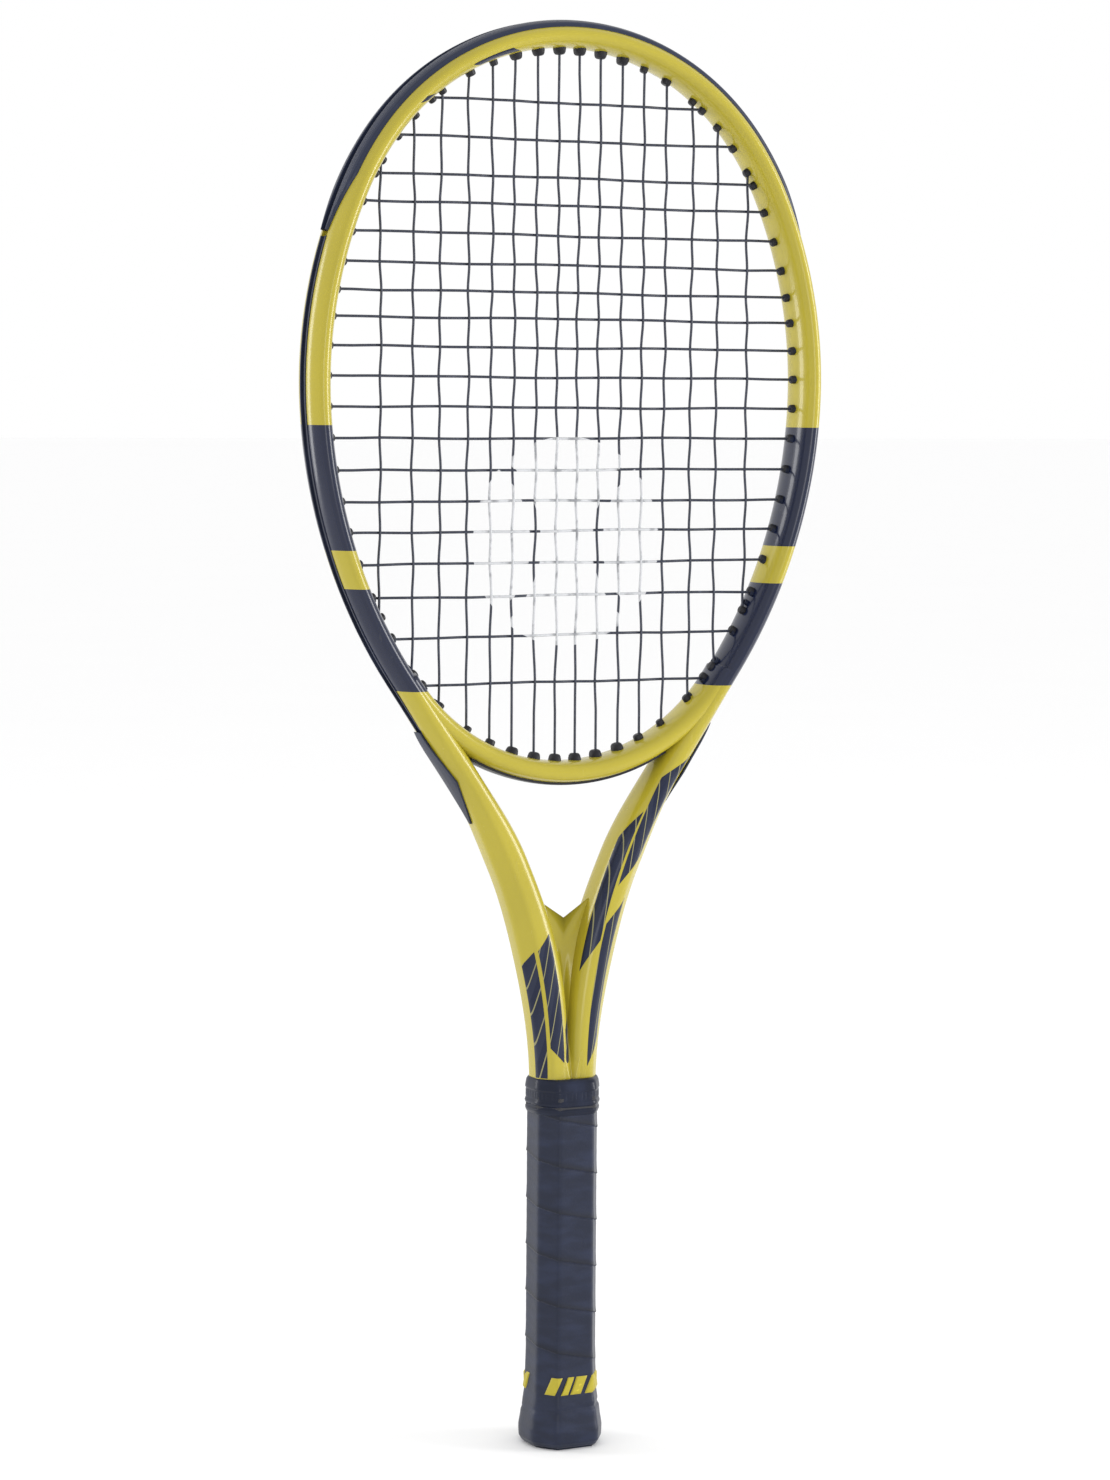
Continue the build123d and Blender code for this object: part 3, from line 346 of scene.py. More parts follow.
def slab(top, bottom):
    """Closed thin solid between two open grids of the same shape."""
    rows, columns = top.shape[:2]
    count = rows * columns
    upper = grid_faces(rows, columns)
    lower = upper[:, ::-1] + count
    rim = np.concatenate([np.arange(columns), np.arange(1, rows) * columns + columns - 1,
                          (rows - 1) * columns + np.arange(columns - 2, -1, -1),
                          np.arange(rows - 2, 0, -1) * columns])
    following = np.roll(rim, -1)
    sides = np.stack([rim, following, following + count, rim + count], -1)
    return np.concatenate([top.reshape(-1, 3), bottom.reshape(-1, 3)]), np.concatenate([upper, lower, sides])


# ---------------------------------------------------------------- shader helpers
class Field:
    """A number socket with Python arithmetic: each operator adds one Math node."""

    def __init__(self, tree, socket):
        self.tree, self.socket = tree, socket

    def _math(self, operation, *values):
        node = self.tree.nodes.new("ShaderNodeMath")
        node.operation = operation
        for slot, value in zip(node.inputs, values):
            if isinstance(value, Field):
                self.tree.links.new(value.socket, slot)
            else:
                slot.default_value = value
        return Field(self.tree, node.outputs[0])

    def __add__(self, other):
        return self._math("ADD", self, other)

    __radd__ = __add__

    def __sub__(self, other):
        return self._math("SUBTRACT", self, other)

    def __rsub__(self, other):
        return self._math("SUBTRACT", other, self)

    def __mul__(self, other):
        return self._math("MULTIPLY", self, other)

    __rmul__ = __mul__

    def __gt__(self, other):
        return self._math("GREATER_THAN", self, other)

    def __lt__(self, other):
        return self._math("LESS_THAN", self, other)

    def __mod__(self, other):
        return self._math("FLOORED_MODULO", self, other)

    def __abs__(self):
        return self._math("ABSOLUTE", self)

    def __pow__(self, other):
        return self._math("POWER", self, other)

    def sine(self):
        return self._math("SINE", self)

    def largest(self, other):
        return self._math("MAXIMUM", self, other)

    def step(self, low, high):
        """Smooth 0 to 1 between two values."""
        node = self.tree.nodes.new("ShaderNodeMapRange")
        node.interpolation_type = "SMOOTHSTEP"
        node.inputs["From Min"].default_value = low
        node.inputs["From Max"].default_value = high
        self.tree.links.new(self.socket, node.inputs["Value"])
        return Field(self.tree, node.outputs[0])


class Finish:
    """A node material in the making."""

    def __init__(self, name, metallic=0.0, coat=0.0, coat_roughness=0.05, specular=0.5, sheen=0.0):
        self.material = bpy.data.materials.new(name)
        self.material.use_nodes = True
        self.tree = self.material.node_tree
        self.shader = self.tree.nodes["Principled BSDF"]
        self.shader.inputs["Metallic"].default_value = metallic
        self.shader.inputs["Coat Weight"].default_value = coat
        self.shader.inputs["Coat Roughness"].default_value = coat_roughness
        self.shader.inputs["Specular IOR Level"].default_value = specular
        self.shader.inputs["Sheen Weight"].default_value = sheen
        self.place = self.node("ShaderNodeTexCoord").outputs["Object"]
        axes = self.node("ShaderNodeSeparateXYZ", {}, {"Vector": self.place}).outputs
        self.x, self.y, self.z = (Field(self.tree, axes[i]) * 1000.0 for i in range(3))

    def node(self, kind, settings=None, sockets=None):
        """Any node: its type, its settings, then the values or links of its sockets."""
        made = self.tree.nodes.new(kind)
        for key, value in (settings or {}).items():
            setattr(made, key, value)
        for key, value in (sockets or {}).items():
            if isinstance(value, Field):
                value = value.socket
            if isinstance(value, bpy.types.NodeSocket):
                self.tree.links.new(value, made.inputs[key])
            else:
                made.inputs[key].default_value = value
        return made

    def uv(self, name):
        axes = self.node("ShaderNodeSeparateXYZ", {}, {
            "Vector": self.node("ShaderNodeUVMap", {"uv_map": name}).outputs["UV"]}).outputs
        return Field(self.tree, axes[0]), Field(self.tree, axes[1])

    def noise(self, scale, detail=3.0, stretch=(1, 1, 1), roughness=0.5):
        """Noise over Object coordinates, scale in cells per metre."""
        place = self.node("ShaderNodeMapping", {}, {"Vector": self.place, "Scale": stretch}).outputs[0]
        made = self.node("ShaderNodeTexNoise", {}, {"Vector": place, "Scale": scale, "Detail": detail,
                                                    "Roughness": roughness})
        return Field(self.tree, made.outputs["Fac"])

    def mix(self, low, high, amount):
        """Colour between two colours."""
        made = self.node("ShaderNodeMix", {"data_type": "RGBA"})
        for socket, value in ((made.inputs[0], amount), (made.inputs[6], low), (made.inputs[7], high)):
            if isinstance(value, Field):
                value = value.socket
            if isinstance(value, bpy.types.NodeSocket):
                self.tree.links.new(value, socket)
            elif isinstance(value, (int, float)):
                socket.default_value = value
            else:
                socket.default_value = (*tuple(value)[:3], 1.0)
        return made.outputs[2]

    def done(self, colour, roughness, height=None, strength=0.3, distance=0.0002):
        for key, value in (("Base Color", colour), ("Roughness", roughness)):
            if isinstance(value, Field):
                value = value.socket
            if isinstance(value, bpy.types.NodeSocket):
                self.tree.links.new(value, self.shader.inputs[key])
            elif key == "Base Color":
                self.shader.inputs[key].default_value = (*tuple(value)[:3], 1.0)
            else:
                self.shader.inputs[key].default_value = value
        if height is not None:
            bump = self.node("ShaderNodeBump", {}, {"Height": height, "Strength": strength,
                                                    "Distance": distance})
            self.tree.links.new(bump.outputs[0], self.shader.inputs["Normal"])
        return self.material


def dress(piece, material):
    """Gives a piece or a CAD node one material in every slot."""
    if not piece.data.materials:
        piece.data.materials.append(material)
    for i in range(len(piece.material_slots)):
        piece.material_slots[i].material = material
    return piece


# ---------------------------------------------------------------- finishes


def lacquer():
    """Gloss lacquer: yellow with navy blocks, thin borders, fine flake, wear and orange peel."""
    c = props("colours")
    f = Finish("frame_lacquer", coat=0.30, coat_roughness=0.06, specular=0.32)
    flake = f.noise(2600.0, 1.0)
    cloud = f.noise(14.0, 2.0)
    scuff = f.noise(240.0, 4.0, (1, 1, 0.25)).step(0.66, 0.74)
    yellow = f.mix(c.yellow, [v * 0.93 for v in c.yellow], cloud.step(0.35, 0.75))
    yellow = f.mix(yellow, [min(1, v * 1.15 + 0.02) for v in c.yellow], flake.step(0.62, 0.8) * 0.35)
    navy = f.mix(c.navy, [v * 1.7 + 0.004 for v in c.navy], flake.step(0.58, 0.72) * 0.5)
    # The borders lie a little lower than level, and the lowest one leans the other way.
    z = f.z + f.x * 0.0022 + 3.4 + (f.z < 400.0) * (f.x * 0.006 - 0.6)
    top, mid_low, mid_top, low = YELLOW_NAVY_BORDERS
    upper = (z < top) * (z > mid_low)
    lower = (z < mid_top) * (z > low)
    blocks = upper + lower
    tone = f.mix(yellow, navy, blocks)
    tone = f.mix(tone, (0.46, 0.44, 0.30), scuff * 0.03)
    peel = f.noise(420.0, 2.0)
    rough = 0.24 + cloud * 0.03 + scuff * 0.06
    return f.done(tone, rough, peel + flake * 0.06, 0.05, 0.0003)


def graphic_paint(name, colour, stripes=True):
    """Navy decal lacquer with thin slanted pinstripes in a lighter tone."""
    f = Finish(name, coat=0.15, coat_roughness=0.07, specular=0.25)
    flake = f.noise(2600.0, 1.0)
    tone = f.mix(colour, [v * 1.9 + 0.006 for v in colour], flake.step(0.55, 0.72) * 0.6)
    if stripes:
        across = f.x * 0.985 - f.z * 0.17
        line = (across % 4.6)
        tone = f.mix(tone, (0.30, 0.28, 0.12), (line < 0.42) * 0.85)
        shade = ((across + 2.0) % 9.2).step(2.0, 9.0)
        tone = f.mix(tone, (0.055, 0.066, 0.10), shade * 0.16)
    return f.done(tone, 0.26 + flake * 0.1, f.noise(420.0, 2.0), 0.05, 0.0003)


def moulded(name, colour, rough=0.45, grain=900.0, strength=0.22, lift=1.6):
    """Moulded plastic or rubber with a fine grain, slight wear and colour change."""
    f = Finish(name, specular=0.30)
    fine = f.noise(grain, 3.0)
    cloud = f.noise(45.0, 3.0)
    tone = f.mix(colour, [v * lift + 0.004 for v in colour], cloud.step(0.4, 0.75))
    tone = f.mix(tone, [v * 2.6 + 0.01 for v in colour], f.noise(300.0, 4.0).step(0.64, 0.78) * 0.4)
    return f.done(tone, rough + cloud * 0.16 - fine * 0.06, fine, strength, 0.0002)


def guard_finish():
    """Slate plastic: fine diagonal ribs across the guard, a matte ground and scuffed high spots."""
    c = props("colours")
    f = Finish("guard_plastic", specular=0.30)
    along, across = f.uv("run")
    rib = ((along + across * 0.55) * (2 * math.pi / 1.15)).sine()
    other = ((along - across * 0.55) * (2 * math.pi / 1.15)).sine()
    cell = (rib * other) * 0.5 + 0.5
    worn = f.noise(120.0, 4.0).step(0.56, 0.78)
    tone = f.mix(c.guard, [v * 1.75 for v in c.guard], cell.step(0.25, 0.9) * 0.55)
    tone = f.mix(tone, [v * 2.3 + 0.02 for v in c.guard], worn * 0.35)
    field = (abs(across) > 2.6) * (abs(across) < 6.5)
    return f.done(tone, 0.36 + worn * 0.15, cell * field + f.noise(1500.0, 2.0) * 0.2, 0.55, 0.00025)


def string_finish():
    """Polyester string with a plain ball mark stencilled over the bed: a disc with two seam arcs."""
    c, s = props("colours"), props("strings")
    f = Finish("string", specular=0.40)
    grainy = f.noise(1700.0, 2.0, (1, 1, 0.2))
    tone = f.mix(c.string, [v * 2.2 + 0.01 for v in c.string], grainy.step(0.45, 0.8))
    dx, dz = f.x, f.z - ball_mark_z()
    round_ = (dx * dx + dz * dz) ** 0.5
    left = (((dx + s.disc * 1.25) ** 2 + dz * dz) ** 0.5 - s.disc * 0.92)
    right = (((dx - s.disc * 1.25) ** 2 + dz * dz) ** 0.5 - s.disc * 0.92)
    seam = (abs(left) < 2.8).largest(abs(right) < 2.8)
    ring = (round_ < s.disc) * (1 - seam)
    worn = f.noise(160.0, 3.0).step(0.30, 0.52)
    tone = f.mix(tone, c.stencil, ring * (0.45 + 0.5 * worn) * (f.y < 0.5))
    return f.done(tone, 0.30 + grainy * 0.12, grainy, 0.12, 0.0001)


def ball_mark_z():
    """Height of the middle of the string bed."""
    low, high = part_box("cross_string")
    return (low.z + high.z) / 2 / MM - 72.0


def wrap_finish():
    """Satin synthetic wrap: pebbled grain, darker near the seams, polished where the hand rests."""
    c = props("colours")
    f = Finish("grip_wrap", specular=0.32, sheen=0.08)
    _, edge = f.uv("wind")
    pebble = f.noise(1300.0, 3.0)
    crease = f.noise(60.0, 4.0, (1, 1, 3.0))
    # painted shade mask: 1 at each seam, fading out over the band just above it
    seam_shade_mask = 1 - (edge.step(0.0, 0.16))
    tone = f.mix(c.wrap, [v * 1.55 + 0.003 for v in c.wrap], crease.step(0.38, 0.72))
    # painted shade: the band just above each seam is darkened to stand in for the shade at the lapped edge
    tone = f.mix(tone, [v * 0.45 for v in c.wrap], seam_shade_mask * 0.9)
    tone = f.mix(tone, [v * 2.0 + 0.006 for v in c.wrap], pebble.step(0.6, 0.8) * 0.35)
    return f.done(tone, 0.32 + crease * 0.14 + pebble * 0.04, pebble + crease * 1.2, 0.28, 0.0003)


# ---------------------------------------------------------------- operators
def simple_operator(suffix, label, text, build):
    """An Operator class around a build function that raises if it can't finish."""
    def execute(self, context):
        build()
        return {"FINISHED"}
    return type("RACKET_OT_" + suffix, (bpy.types.Operator,),
                {"__doc__": text, "bl_idname": "racket." + suffix, "bl_label": label, "execute": execute})


def tube_angles(section, s, columns):
    """Angles of the groove's two lips and of the profile's points round the body between them."""
    half = props("frame").groove_half_width
    front = section.angle_at_y(s, half)
    back = section.angle_at_y(s, -half)
    share = np.linspace(0, 1, columns)
    body = front[:, None] + (2 * math.pi + back - front)[:, None] * share[None, :]
    return front, body


def build_frame():
    """Hairpin tube: the section carried along the centreline from one side of the handle to the other.

    In each ring the profile runs round the body from the groove's front lip to its back lip, and then
    drops to the groove's floor and back.
    """
    f = props("frame")
    line = Centreline()
    section = Section(line)
    end = float(line.s_at_z(SHAFT_STOP_Z))
    groove_stop = line.lower_end + 36.0
    half = np.concatenate([np.arange(0.0, groove_stop, 1.6), [groove_stop, groove_stop + 0.05],
                           np.arange(groove_stop + 1.6, end, 1.6), [end]])
    s = np.concatenate([-half[:0:-1], half])
    depth = np.where(np.abs(s) <= groove_stop, f.groove_depth, 0.0)
    front, body = tube_angles(section, s, 60)
    points = section.point(s[:, None], body)
    floor = []
    lip_r = section.radius(s, front) * np.cos(front)
    flat = f.hoop_half_width - f.groove_depth
    for share in (-1.0, -0.34, 0.34, 1.0):
        y = share * f.groove_half_width * 0.995
        a = section.angle_at_y(s, y)
        out = np.where(depth > 0, flat, section.radius(s, a) * np.cos(a))
        out = np.minimum(out, np.where(depth > 0, lip_r, out))
        x, z, _ = line.at(s)
        u, w = line.outwards(s)
        floor.append(np.stack([x + out * u, np.full_like(s, -y), z + out * w], -1))
    grid = np.concatenate([points, np.stack(floor, 1)], 1)
    piece = add_mesh("lacquered_tube", *ring_solid(grid), slot="frame_lacquer")
    piece.data.set_sharp_from_angle(angle=math.radians(48))
    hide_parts("frame_tube")
    dress(piece, lacquer())


def build_web():
    """Web that joins the two tubes under the crotch: columns across, rows down the shaft.

    Its top edge rises towards the tubes as a power of the share of the way across, so the crotch is a
    sharp V. Its face lies deep between the tubes at the crotch and comes forward as it goes down, by an
    eased curve, with a narrow crease along the middle.
    """
    line = Centreline()
    share = np.linspace(-1, 1, 41)
    t = np.linspace(0, 1, 60)
    top = CROTCH_Z + CROTCH_RISE * np.abs(share) ** 1.15
    z = top[None, :] + (SHAFT_STOP_Z - top)[None, :] * t[:, None] ** 1.3
    s = line.s_at_z(z.ravel()).reshape(z.shape)
    reach = np.maximum(line.at(s.ravel())[0].reshape(z.shape), 0.4)
    drop = np.clip((top[None, :] - z) / 66.0, 0, 1)
    depth = 0.1 + 11.0 * (drop ** 1.5) * (1.5 - 0.5 * drop)
    crease = (0.6 + 2.4 * (1 - drop)) * np.exp(-(share * reach / 1.2) ** 2) * np.clip(drop * 8, 0, 1)
    front = np.stack([reach * share[None, :], -np.maximum(depth - crease, 0.05), z], -1)
    back = front[:, ::-1] * [1, -1, 1]
    piece = add_mesh("lacquered_web", *ring_solid(np.concatenate([front, back], 1)), slot="frame_lacquer")
    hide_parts("frame_tube")
    dress(piece, bpy.data.objects["lacquered_tube"].active_material)


def crown_inside_z():
    """Height of the crown's inner wall."""
    return TUBE_TOP_Z + GROOVE_LIP_DROP - 2 * props("frame").hoop_half_width


def bridge_centre_z():
    """Height of the middle of the bridge's arc."""
    f = props("frame")
    return crown_inside_z() - HEAD_INNER_LENGTH + f.bridge_radius - f.bridge_half_width


def build_bridge():
    """Bridge: a rounded section carried round an arc; it widens a little where it meets the arms."""
    f = props("frame")
    reach = math.radians(57.5)
    b = np.linspace(-reach, reach, 120)
    a = np.linspace(0, 2 * math.pi, 48, endpoint=False)
    n = 2.5
    c, q = np.abs(np.cos(a)), np.abs(np.sin(a))
    r = ((c / f.bridge_half_width) ** n + (q / f.bridge_half_depth) ** n) ** (-1 / n)
    out, deep = r * np.cos(a), r * np.sin(a)
    radius = f.bridge_radius + out[None, :]
    grid = np.stack([radius * np.sin(b)[:, None], np.repeat(-deep[None, :], len(b), 0),
                     bridge_centre_z() - radius * np.cos(b)[:, None]], -1)
    piece = add_mesh("lacquered_bridge", *ring_solid(grid), slot="frame_lacquer")
    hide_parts("throat_bridge")
    dress(piece, bpy.data.objects["lacquered_tube"].active_material)


def patch(name, section, s_edges, a_edges, material, lift=0.07, rows=26, columns=16):
    """Decal on the tube: a grid between two ends, each with its own two angles, blended linearly."""
    t = np.linspace(0, 1, rows)[:, None]
    k = np.linspace(0, 1, columns)[None, :]
    (s00, s01), (s10, s11) = s_edges
    (a00, a01), (a10, a11) = a_edges
    s = (s00 * (1 - k) + s01 * k) * (1 - t) + (s10 * (1 - k) + s11 * k) * t
    a = np.radians((a00 * (1 - k) + a01 * k) * (1 - t) + (a10 * (1 - k) + a11 * k) * t)
    piece = add_mesh(name, *slab(section.point(s, a, lift), section.point(s, a, -0.15)),
                     slot="frame_lacquer", sharp=40)
    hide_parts("frame_tube")
    dress(piece, material)
    return piece


def build_graphics():
    """Plain slanted blocks on the arms and short bars inside the crown, front and back alike."""
    c = props("colours")
    line = Centreline()
    section = Section(line)
    paint = graphic_paint("graphic_lacquer", c.navy)
    plain = graphic_paint("graphic_lacquer_plain", c.navy, stripes=False)

    def s_z(z):
        return float(line.s_at_z(z))

    for face, turn in (("front", 1.0), ("back", -1.0)):
        # (name, side, heights at the first end (two corners), heights at the other, angles likewise)
        blocks = (
            ("arm_bar_upper", 1, (336, 322), (288, 272), (72, 112), (66, 100)),
            ("arm_bar_middle", 1, (306, 292), (246, 230), (112, 146), (104, 138)),
            ("arm_bar_lower", 1, (268, 254), (200, 186), (66, 100), (60, 92)),
            ("shaft_bar_outer", -1, (238, 244), (181, 181), (22, 66), (20, 62)),
            ("shaft_bar_middle", -1, (244, 250), (196, 188), (76, 114), (72, 106)),
            ("shaft_bar_inner", -1, (204, 214), (181, 183), (116, 138), (110, 128)),
        )
        for name, side, first, last, first_a, last_a in blocks:
            side = side * turn
            s0 = [side * s_z(z) for z in first]
            s1 = [side * s_z(z) for z in last]
            patch(f"graphic_{name}_{face}", section, (s0, s1),
                  [[turn * v for v in first_a], [turn * v for v in last_a]], paint)
        for name, s0, s1, a0, a1 in (("long", -59.0, -36.0, 104, 124), ("short", -93.0, -88.0, 98, 112)):
            ends = ((turn * s0, turn * (s0 + 5)), (turn * s1, turn * (s1 + 5)))
            angles = (turn * a0, turn * a1)
            patch(f"crown_bar_{name}_{face}", section, ends, (angles, angles), plain)


def build_guard():
    """Bumper guard: a shell over the outside of the crown, with a string channel and pointed ends.

    Its profile runs from the back edge over the shell to the channel's lip, across the channel's floor and
    on to the front edge, then back along the tube's surface. The half width narrows evenly to a point.
    """
    line = Centreline()
    section = Section(line)
    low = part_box("bumper_guard")[0]
    tip_s = min(float(line.s_at_z(low.z / MM + 1.0)), GUARD_LONGEST_RUN)
    full_s = float(line.s_at_z(line.at(np.array([tip_s]))[1][0] + 26.0))
    s = np.linspace(-tip_s, tip_s, 300)
    half = np.interp(np.abs(s), [0, full_s, tip_s],
                     [GUARD_HALF_WIDTH, GUARD_HALF_WIDTH, GUARD_TIP_HALF_WIDTH])
    thickness = 1.55
    inner_lip = 2.35
    floor_off = props("frame").hoop_half_width - props("frame").groove_depth + 1.15
    columns = []
    across = []

    def column(y, grow):
        a = section.angle_at_y(s, y, grow)
        columns.append(section.point(s, a, grow))
        across.append(np.broadcast_to(y, s.shape).astype(float))

    def floor_column(y):
        x, z, _ = line.at(s)
        u, w = line.outwards(s)
        columns.append(np.stack([x + floor_off * u, np.full_like(s, -y), z + floor_off * w], -1))
        across.append(np.full_like(s, y))

    column(-half, 0.05)
    column(-half, thickness * 0.55)
    column(-half + 0.45, thickness * 0.93)
    for share in np.linspace(1, 0, 9):
        column(-(inner_lip + 0.25 + (half - 0.9 - inner_lip - 0.25) * share), thickness)
    column(np.full_like(s, -inner_lip), thickness * 0.8)
    for y in (-inner_lip, -1.0, 1.0, inner_lip):
        floor_column(y)
    column(np.full_like(s, inner_lip), thickness * 0.8)
    for share in np.linspace(0, 1, 9):
        column(inner_lip + 0.25 + (half - 0.9 - inner_lip - 0.25) * share, thickness)
    column(half - 0.45, thickness * 0.93)
    column(half, thickness * 0.55)
    column(half, 0.05)
    for share in (0.6, 0.2, -0.2, -0.6):
        column(half * share, -0.6)
    grid = np.stack(columns, 1)
    across = np.stack(across, 1)
    piece = add_mesh("guard_shell", *ring_solid(grid), slot="guard_plastic")
    write_uv(piece, "run", np.stack([np.repeat(s, grid.shape[1]), across.ravel()], -1))
    piece.data.set_sharp_from_angle(angle=math.radians(35))
    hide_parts("bumper_guard")
    dress(piece, guard_finish())


def bed_places():
    """Places of the mains across and of the crosses up the string bed, in millimetres."""
    mains = np.array([5.4, 16.7, 28.6, 40.4, 52.6, 67.2, 81.2, 98.0])
    drops = np.array([25.9, 43.6, 61.2, 74.2, 88.3, 102.3, 115.3, 127.7, 141.3, 155.3, 169.6, 184.2, 199.2,
                      214.0, 228.3, 243.4, 259.0, 278.1, 300.7])
    return np.concatenate([-mains[::-1], mains]), crown_inside_z() - drops


def string_mesh(paths, radius, sides=8):
    """Round tubes along polylines that lie near a plane: each ring square to the run."""
    solids = []
    a = np.linspace(0, 2 * math.pi, sides, endpoint=False)
    for path in paths:
        tangent = np.gradient(path, axis=0)
        tangent /= np.linalg.norm(tangent, axis=1, keepdims=True)
        side = np.cross(tangent, [0.0, 1.0, 0.0])
        side /= np.linalg.norm(side, axis=1, keepdims=True)
        up = np.cross(side, tangent)
        ring = (path[:, None] + radius * (np.cos(a)[None, :, None] * side[:, None]
                                          + np.sin(a)[None, :, None] * up[:, None]))
        solids.append(ring_solid(ring))
    return joined(solids)


WEAVE_FADE = 14.0                   # length past the last crossing in which the weave fades out
STRING_STEP = 1.1                   # length between two rings of a string
STRING_IN_FRAME = 4.0               # length of each end inside the frame


def inner_wall(line, inset, count):
    """Arc length, x, z and outward direction along the line that lies inset inside the centreline."""
    s = np.linspace(0.0, line.straight_end, count)
    x, z, _ = line.at(s)
    u, w = line.outwards(s)
    return s, x - inset * u, z - inset * w, u, w


def woven_depth(v, others, sign):
    """Depth of a string along v as it crosses the others in rising order, and how far the weave holds."""
    phase = np.interp(v, others, np.arange(len(others)))
    hold = np.clip(np.minimum(v - others[0] + WEAVE_FADE, others[-1] + WEAVE_FADE - v) / WEAVE_FADE, 0, 1)
    return sign * np.cos(math.pi * phase) * props("strings").weave * hold, hold


def build_strings():
    """Woven bed: each string's depth follows a cosine through its crossings, over one and under the next.

    Between crossings a string is also drawn a little aside, by a small sum of sines, as tension and play
    leave it. Ends run into their grommets along the frame's inner wall.
    """
    p = props("strings")
    line = Centreline()
    mains, crosses = bed_places()
    radius = p.diameter / 2
    _, wall_x, wall_z, _, _ = inner_wall(line, props("frame").hoop_half_width + 0.5, 1500)
    widest = int(np.argmax(wall_x))
    bridge_r = props("frame").bridge_radius - props("frame").bridge_half_width - 0.5
    centre = bridge_centre_z()
    chaos = np.random.default_rng(7)

    def inside_z(px):
        top = np.interp(abs(px), wall_x[:widest], wall_z[:widest])
        low = np.interp(-abs(px), -wall_x[widest:], wall_z[widest:])
        if abs(px) < bridge_r * 0.8:
            low = max(low, centre - math.sqrt(bridge_r ** 2 - px ** 2))
        return low, top

    def inside_x(pz):
        order = np.argsort(wall_z)
        reach = np.interp(pz, wall_z[order], wall_x[order])
        if centre - pz > bridge_r * BRIDGE_MEETS:
            reach = min(reach, math.sqrt(max(bridge_r ** 2 - (pz - centre) ** 2, 0.0)))
        return reach

    main_paths = []
    for i, px in enumerate(mains):
        low, high = inside_z(px)
        v = np.arange(low - STRING_IN_FRAME, high + STRING_IN_FRAME, STRING_STEP)
        depth, hold = woven_depth(v, crosses[::-1], 1 if i % 2 else -1)
        k = chaos.uniform(0, 2 * math.pi, 3)
        aside = p.wander * (np.sin(v / 31.0 + k[0]) * 0.6 + np.sin(v / 13.7 + k[1]) * 0.4) * hold
        main_paths.append(np.stack([px + aside, depth, v], -1))
    cross_paths = []
    for j, pz in enumerate(crosses):
        reach = inside_x(pz) + STRING_IN_FRAME
        v = np.arange(-reach, reach, STRING_STEP)
        depth, hold = woven_depth(v, mains, -1 if (len(crosses) - 1 - j) % 2 else 1)
        k = chaos.uniform(0, 2 * math.pi, 3)
        droop = p.wander * (np.sin(v / 29.0 + k[0]) * 0.5 + np.sin(v / 11.9 + k[1]) * 0.3)
        cross_paths.append(np.stack([v, depth, pz + droop * hold], -1))
    finish = string_finish()
    for name, paths, node in (("woven_mains", main_paths, "main_string"),
                              ("woven_crosses", cross_paths, "cross_string")):
        piece = add_mesh(name, *string_mesh(paths, radius), slot="string")
        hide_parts(node)
        dress(piece, finish)


def hole_spots():
    """Where each string leaves the frame's inner wall, and the outward direction there.

    Top holes of the mains and both ends of the crosses sit where the wall's curve has their place; the
    lower ends of the inner mains sit on the bridge's circle.
    """
    f = props("frame")
    line = Centreline()
    mains, crosses = bed_places()
    s, wall_x, wall_z, u, w = inner_wall(line, f.hoop_half_width, 4000)
    widest = int(np.argmax(wall_x))
    centre, radius = bridge_centre_z(), f.bridge_radius - f.bridge_half_width
    meet = radius * math.sin(math.radians(BRIDGE_MEET_DEGREES))

    def wall_at(place):
        """Height and outward direction of the wall at an arc length."""
        return [float(np.interp(place, s, values)) for values in (wall_z, u, w)]

    spots = []
    for px in mains[mains > 0]:
        spots.append(("main_top", px, *wall_at(np.interp(px, wall_x[:widest], s[:widest]))))
        if px < meet:
            a = math.asin(px / radius)
            spots.append(("main_low", px, centre - radius * math.cos(a), math.sin(a), -math.cos(a)))
        else:
            spots.append(("main_low", px, *wall_at(np.interp(-px, -wall_x[widest:], s[widest:]))))
    for pz in crosses:
        place, drop = np.interp(-pz, -wall_z, s), centre - pz
        if drop > radius * BRIDGE_MEETS:
            px = math.sqrt(radius ** 2 - drop ** 2)
            spots.append(("cross", px, pz, px / radius, -drop / radius))
        else:
            spots.append(("cross", float(np.interp(place, s, wall_x)), pz, *wall_at(place)[1:]))
    return spots


def turned_boss(x, z, u, w, profile, sides, squash=1.0):
    """Round or oval boss turned about the line of a hole: rings of radius r at distance h inwards."""
    a = np.linspace(0, 2 * math.pi, sides, endpoint=False)
    r = np.array([p[0] for p in profile])[:, None]
    h = np.array([p[1] for p in profile])[:, None]
    along = r * np.cos(a)
    deep = r * np.sin(a) * squash
    gx = x - h * u + along * w
    gz = z - h * w - along * u
    return ring_solid(np.stack([gx, deep, gz], -1))


